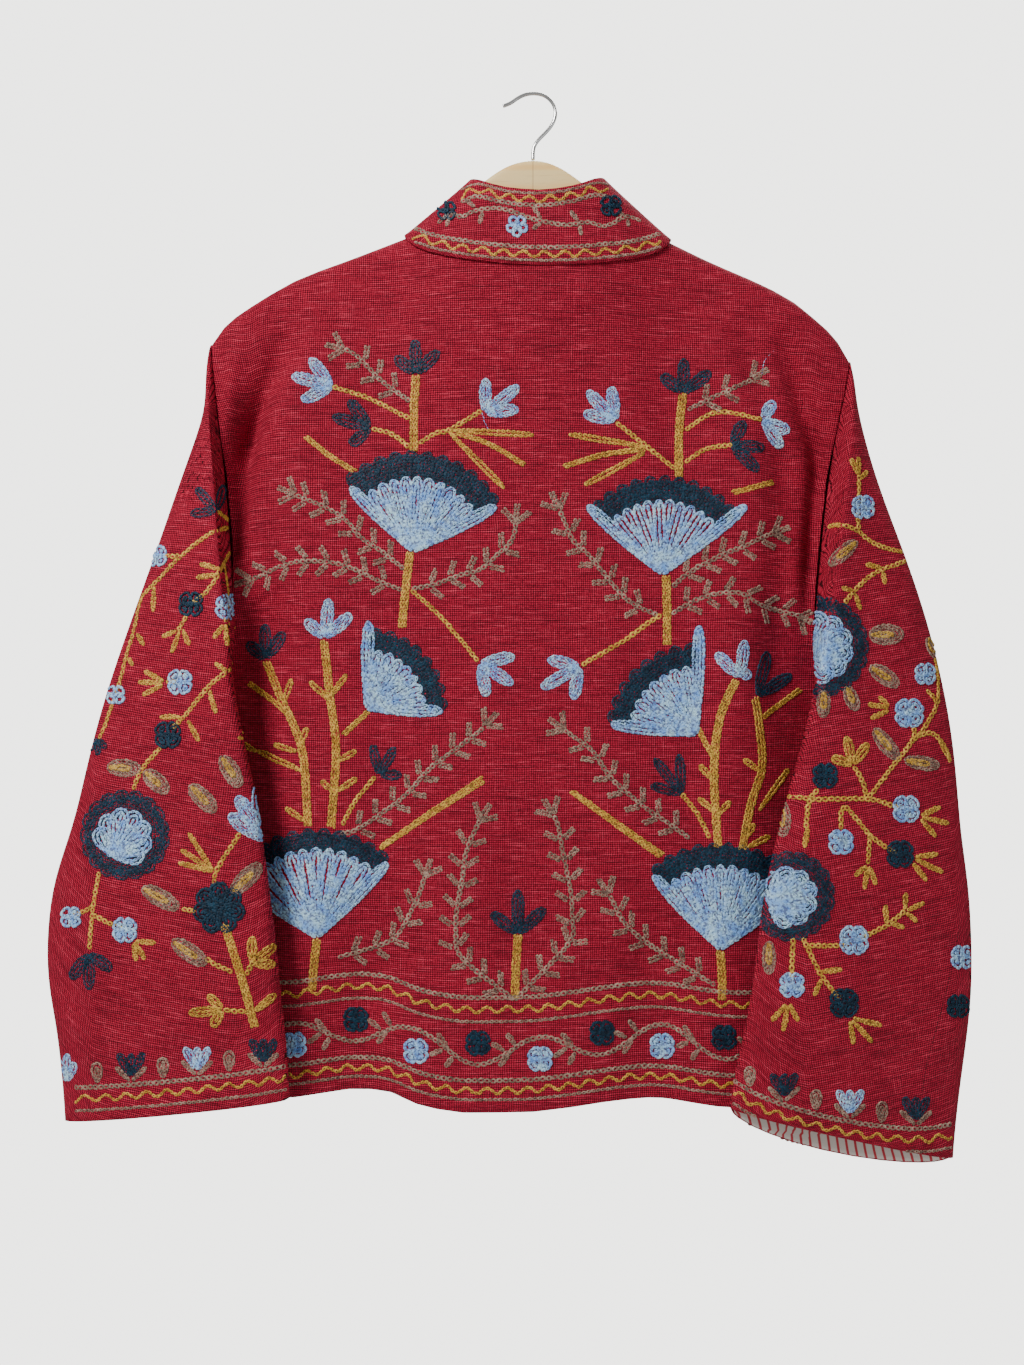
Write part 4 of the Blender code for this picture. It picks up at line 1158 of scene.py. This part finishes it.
class Side:
    """One side of a cloth shell, seen from the camera or from straight behind."""

    def __init__(self, name, facing, depth=1.0):
        self.name = name
        self.facing = facing
        self.depth = depth
        self.tree = tree_of(shells[name])

    def look(self, place):
        """The point and normal seen at a place, unless it lies deeper than this side."""
        ray = through(place)
        if self.facing == NEAR:
            point, normal = self.tree.ray_cast(EYE, ray)[:2]
        else:
            start = EYE + ray
            start.y = 1.0
            point, normal = self.tree.ray_cast(start, Vector((0, -1, 0)))[:2]
        if point is not None and -self.facing * point.y > self.depth:
            return None, None
        return point, normal

    def edge(self, across, inside, outside):
        """The first place from outside inwards where the cloth is, down or up a column."""
        steps = np.linspace(outside, inside, EDGE_STEPS)
        for beyond, within in zip(steps, steps[1:]):
            if self.look(complex(across, within))[0] is not None:
                break
        else:
            return None
        for _ in range(HALVINGS):
            half = (within + beyond) / 2
            if self.look(complex(across, half))[0] is None:
                beyond = half
            else:
                within = half
        return within


def edge_line(side, first, last, inside, outside):
    """The cloth's edge from one column to another, as a smooth chart line."""
    columns = np.arange(first, last + 0.1, COLUMN_STEP)
    found = [(column, side.edge(column, inside, outside)) for column in columns]
    line = np.array([complex(column, down) for column, down in found if down is not None])
    down = np.convolve(np.pad(line.imag, SMOOTH_OVER // 2, mode="edge"),
                       np.ones(SMOOTH_OVER) / SMOOTH_OVER, mode="valid")
    return curve(*(line.real + 1j * down))

# %% Hem, cuffs and collar
VINE_LEAVES = ((0.27, -0.15, 0.16, 1.25), (0.30, -0.4, 0.22, -1.5))
SEPAL_WIDE = 6.0
VINE_LEAF_WIDE = 6.5
CUFF_FOOT, BUD_TIP, BUD_WIDE = 37j, 60j, 13.0
CUP_FOOT, CUP_TIP, CUP_LEAN, CUP_WIDE = 42j, 67j, 13, 10.0
SEPAL_TIP, SEPAL_LEAN = 53j, 17


def border(chart, edge, depths, zigzag, up=1):
    """Taupe rows at the depths from the edge, and a zigzag half-way between two of them."""
    for depth in depths:
        chart.row("taupe", edge - 1j * depth * up, kind=BOLD if depth == max(depths) else LINE)
    chart.zigzag(edge - 1j * zigzag * up)


def vine(chart, edge, height, period, first, swing, size):
    """A wavy stem with a flower in each bend, pale below and navy above."""
    run = edge.real - edge.real[0]
    wave = np.cos(2 * math.pi * (run - first) / period)
    chart.row("taupe", edge - 1j * (height + swing * wave), kind=BOLD)

    def at(along, rise):
        index = int(np.argmin(abs(run - along)))
        return edge[index] - 1j * (height + rise)

    for along in np.arange(first - period, run[-1] + period, period):
        for shift, colour, way in ((0.0, "pale", 1), (period / 2, "navy", -1)):
            middle = along + shift
            if size < middle < run[-1] - size:
                chart.flower(colour, at(middle, -way * size * 0.62), size)
                tip = at(middle + size * 0.8, -way * size * 0.7)
                chart.twig(at(middle + period * 0.22, 0), tip, SEPAL_WIDE, "taupe")
            if 0 < middle + period * 0.2 < run[-1] - period * 0.1:
                for root, root_rise, tip, tip_rise in VINE_LEAVES:
                    chart.twig(at(middle + period * root, way * swing * root_rise),
                               at(middle + period * tip, way * swing * tip_rise),
                               VINE_LEAF_WIDE, "taupe")


def cuff_tulips(chart, edge, first, step=66.5):
    """Taupe buds and cupped tulips in turn above a cuff."""
    run = edge.real - edge.real[0]
    for index, along in enumerate(np.arange(first, run[-1] - 6, step / 2)):
        foot = edge[int(np.argmin(abs(run - along)))]
        if index % 2 == 0:
            chart.loops("taupe", foot - CUFF_FOOT, foot - BUD_TIP, BUD_WIDE)
            continue
        colour = ("navy", "pale")[index // 2 % 2]
        for lean in (-CUP_LEAN, 0, CUP_LEAN):
            chart.loops(colour, foot - CUP_FOOT, foot - CUP_TIP + lean, CUP_WIDE)
        for lean in (-SEPAL_LEAN, SEPAL_LEAN):
            chart.loops("taupe", foot - CUFF_FOOT, foot - SEPAL_TIP + lean, SEPAL_WIDE)


# %% The hem
HEM_COLUMNS = (194, 856)
HEM_SEARCH = (1040, 1180)
HEM_BANDS = (((13, 32), 22), ((91, 115), 103))
HEM_VINE = {"height": 61, "period": 123, "swing": 13, "size": 14}


def hem_bands(chart, edge, first_flower):
    """Both bands of a hem, and the vine between them."""
    for depths, zigzag in HEM_BANDS:
        border(chart, edge, depths, zigzag)
    vine(chart, edge, first=first_flower, **HEM_VINE)


back_near = Side("back", NEAR)
back_hem = edge_line(back_near, *HEM_COLUMNS, *HEM_SEARCH)
hem_bands(back, back_hem, first_flower=100)
print("hem rows drawn from column", round(back_hem.real[0]), "to", round(back_hem.real[-1]))

# %% [markdown]
# ## Sewing the rows down
# Each row is cast on the cloth, cut where the cloth ends or steps away, and divided into equal
# links. A seeded drift in size and direction keeps the rows from looking like a machine's. All
# links of one thread on one panel become one mesh.

# %% Sewing the rows down
BREAK = 0.006
LAYER_RISE = 0.0004
LONG_DRIFT = (0.95, 1.05)
WIDE_DRIFT = (0.88, 1.12)
HIGH_DRIFT = (0.85, 1.15)
TURN_DRIFT = 0.09
SIDE_DRIFT = 0.00012
drift = np.random.default_rng(7)
Stitch = namedtuple("Stitch", "place ahead out kind")


def runs_on_cloth(side, path, layer):
    """The parts of a row that lie on the cloth, as points and normals."""
    run = []
    for place in path:
        point, normal = side.look(place)
        if run and (point is None or (point - run[-1][0]).length > BREAK):
            yield run
            run = []
        if point is not None:
            run.append((point + normal * layer * LAYER_RISE, normal))
    if run:
        yield run


def stitches(side, rows, colour):
    """Place, direction and normal of every link of one thread."""
    found = []
    for row in (row for row in rows if row.colour == colour):
        for run in runs_on_cloth(side, row.path, row.layer):
            if len(run) < 2:
                continue
            points = np.array([point for point, _ in run])
            normals = np.array([normal for _, normal in run])
            reach = np.concatenate(([0], np.cumsum(np.linalg.norm(np.diff(points, axis=0),
                                                                  axis=1))))
            pitch = row.kind.pitch * (1 if side.facing == NEAR else FAR_STRETCH)
            if reach[-1] < pitch * 0.5:
                continue
            count = max(1, round(reach[-1] / pitch))
            shift = drift.uniform(-0.4, 0.4) * reach[-1] / count
            ends = np.clip(np.linspace(0, reach[-1], count + 1) + shift, 0, reach[-1])
            joints = np.column_stack([np.interp(ends, reach, points[:, k]) for k in range(3)])
            middles = (ends[1:] + ends[:-1]) / 2
            outs = np.column_stack([np.interp(middles, reach, normals[:, k]) for k in range(3)])
            for start, end, out in zip(joints, joints[1:], outs):
                if np.linalg.norm(end - start) > pitch * 0.3:
                    found.append(Stitch((start + end) / 2, end - start, out, row.kind))
    return found


def sew(side, rows, colour):
    """One mesh of all the links of one thread on one side of one panel."""
    found = stitches(side, rows, colour)
    if not found:
        return
    unit, faces = NEAR_LINK if side.facing == NEAR else FAR_LINK
    place = np.array([s.place for s in found])
    ahead = np.array([s.ahead for s in found])
    out = np.array([s.out for s in found])
    out /= np.linalg.norm(out, axis=1)[:, None]
    ahead -= out * np.sum(ahead * out, axis=1)[:, None]
    step = np.linalg.norm(ahead, axis=1)[:, None]
    ahead /= step
    aside = np.cross(out, ahead)
    count = len(found)
    yaw = drift.normal(0, TURN_DRIFT, (count, 1))
    ahead, aside = (ahead * np.cos(yaw) + aside * np.sin(yaw),
                    aside * np.cos(yaw) - ahead * np.sin(yaw))
    overlap = np.array([[s.kind.long - s.kind.pitch] for s in found])
    long = (step + overlap) * drift.uniform(*LONG_DRIFT, (count, 1))
    wide = np.array([[s.kind.wide] for s in found]) * drift.uniform(*WIDE_DRIFT, (count, 1))
    high = np.array([[s.kind.high] for s in found]) * drift.uniform(*HIGH_DRIFT, (count, 1))
    is_centre = (abs(unit[:, 0]) < AT_CENTRE) & (abs(unit[:, 1]) < AT_CENTRE)
    centre = np.array([[s.kind.centre] for s in found])
    rise = np.where(is_centre[None, :], centre, unit[None, :, 2])
    place = place - out * LINK_SINK + aside * drift.normal(0, SIDE_DRIFT, (count, 1))
    points = (place[:, None] + unit[None, :, 0:1] * (ahead * long)[:, None]
              + unit[None, :, 1:2] * (aside * wide)[:, None]
              + rise[:, :, None] * (out * high)[:, None])
    firsts = np.arange(count) * len(unit)
    all_faces = []
    for face in faces:
        all_faces += (firsts[:, None] + np.array(face)).tolist()
    mesh = bpy.data.meshes.new("links")
    mesh.from_pydata(points.reshape(-1, 3), [], all_faces)
    mesh.shade_smooth()
    mesh.materials.append(THREADS[colour])
    where = "near" if side.facing == NEAR else "far"
    piece = bpy.data.objects.new(f"{colour}_stitches_{side.name}_{where}", mesh)
    bpy.context.scene.collection.objects.link(piece)
    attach(piece, "root")
    print(piece.name, "links", count)


def sew_all(side, chart):
    for colour in THREADS:
        sew(side, chart.rows, colour)


sew_all(back_near, back)

# %% Sleeves
Cuff = namedtuple("Cuff", "chart columns search first_bud")
CUFFS = {
    "sleeve_left": Cuff(left, (75, 292), (1075, 1240), 22),
    "sleeve_right": Cuff(right, (732, 952), (1085, 1240), 18),
}
CUFF_ROWS = (11, 34)
CUFF_ZIGZAG = 23

for name, cuff in CUFFS.items():
    side = Side(name, NEAR)
    edge = edge_line(side, *cuff.columns, *cuff.search)
    border(cuff.chart, edge, CUFF_ROWS, CUFF_ZIGZAG)
    cuff_tulips(cuff.chart, edge, cuff.first_bud)
    sew_all(side, cuff.chart)
    sew_all(Side(name, FAR), cuff.chart)

# %% Collar
collar = Chart()
COLLAR_DEPTH = -0.004
NECK_EDGE = {"first": 413, "last": 661, "inside": 205, "outside": 300}
RIM_EDGE = {"first": 460, "last": 610, "inside": 215, "outside": 150}
collar_near = Side("collar", NEAR, COLLAR_DEPTH)
border(collar, edge_line(collar_near, **NECK_EDGE), (5, 18), 11)
border(collar, edge_line(collar_near, **RIM_EDGE), (4, 16), 10, up=-1)
collar.row("taupe", curve((438, 223), (450, 214), (462, 217), (474, 211), (496, 208), (514, 212),
                          (527, 217), (541, 221), (565, 225), (579, 223), (590, 222), (600, 226),
                          (612, 224), (622, 217), (631, 217), (641, 221)), kind=BOLD)
COLLAR_LEAVES = (
    ((465, 199), (476, 208)), ((479, 226), (483, 210)), ((446, 228), (450, 215)),
    ((532, 205), (542, 220)), ((569, 209), (579, 222)), ((581, 237), (580, 224)),
    ((629, 228), (627, 218)), ((530, 230), (543, 222)), ((618, 211), (625, 217)),
)
collar.twigs(*COLLAR_LEAVES, wide=5.5, colour="taupe")
collar.flower("navy", (447, 211), 11)
collar.flower("pale", (517, 226), 12, petals=5, turn=18.0)
collar.flower("navy", (611, 206), 12)
sew_all(collar_near, collar)

COLLAR_ENDS = ((446, 527), (539, 622))
NECK_SEARCH = (160, 420)
RIM_SEARCH = (420, 130)
collar_far = Side("collar", FAR, COLLAR_DEPTH)
collar_front = Chart()
for columns in COLLAR_ENDS:
    border(collar_front, edge_line(collar_far, *columns, *NECK_SEARCH), (6, 20), 13)
    border(collar_front, edge_line(collar_far, *columns, *RIM_SEARCH), (5, 19), 12, up=-1)
sew_all(collar_far, collar_front)

# %% [markdown]
# ## The fronts
# The fronts face the wall and are hardly seen, but they carry the same flowers. The back's chart
# is sewn on them from behind, without the middle motif, which the opening would cut. A band
# like the collar's runs down each side of the opening.

# %% The fronts
OPENING_COLUMN = 533
BAND_WIDE = 36
BAND_TOP = 352
BAND_ABOVE_EDGE = 4
NEAR_ROW, BAND_ZIGZAG, FAR_ROW = 9, 19, 29
HEM_TOP = 1000
Front = namedtuple("Front", "name columns way")
FRONTS = (Front("front_left", (194, 500), -1), Front("front_right", (566, 856), 1))

for name, columns, way in FRONTS:
    side = Side(name, FAR)
    chart = Chart()
    crossing = {row.motif for row in back.rows
                if (way * (row.path.real - OPENING_COLUMN)).min() < BAND_WIDE}
    chart.rows = [row for row in back.rows
                  if row.motif not in crossing and row.path.imag.mean() < HEM_TOP]
    hem = edge_line(side, *columns, *HEM_SEARCH)
    hem_bands(chart, hem, first_flower=32)
    down = curve((OPENING_COLUMN, BAND_TOP), (OPENING_COLUMN, hem.imag.min() - BAND_ABOVE_EDGE))
    chart.row("taupe", down + way * NEAR_ROW)
    chart.row("taupe", down + way * FAR_ROW, kind=BOLD)
    chart.zigzag(down + way * BAND_ZIGZAG)
    sew_all(side, chart)

# %% [markdown]
# ## The cloth's own sizes
# A tailor knows each piece by its cut. The flat sizes below are the widths and lengths of the
# panels before sewing, and each shell's surface is printed.

# %% The cloth's own sizes
Cut = namedtuple("Cut", "width length area rests_on")
CUTS = {
    "back": Cut(0.56, 0.67, 0.30, ("hanger_arms",)),
    "front_left": Cut(0.29, 0.66, 0.15, ("hanger_arms",)),
    "front_right": Cut(0.29, 0.66, 0.15, ("hanger_arms",)),
    "sleeve_left": Cut(0.38, 0.60, 0.14, ("back_cloth", "front_left_cloth")),
    "sleeve_right": Cut(0.39, 0.60, 0.145, ("back_cloth", "front_right_cloth")),
    "collar": Cut(0.43, 0.060, None, ("back_cloth",)),
    "cuff_facing_right": Cut(0.34, 0.026, None, ("sleeve_right_cloth",)),
}
for name, cut in CUTS.items():
    surface = sum(face.area for face in shells[name].data.polygons)
    print(name, "surface", round(surface, 4), "half", round(surface / 2, 4))
    list(cut.rests_on)

# %% Sizes and finish
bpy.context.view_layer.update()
print("cad", tuple(cad_low), tuple(cad_high))
total = sum(len(face.vertices) - 2 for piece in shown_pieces() if piece.type == "MESH"
            for face in piece.data.polygons)
print("triangles", total)
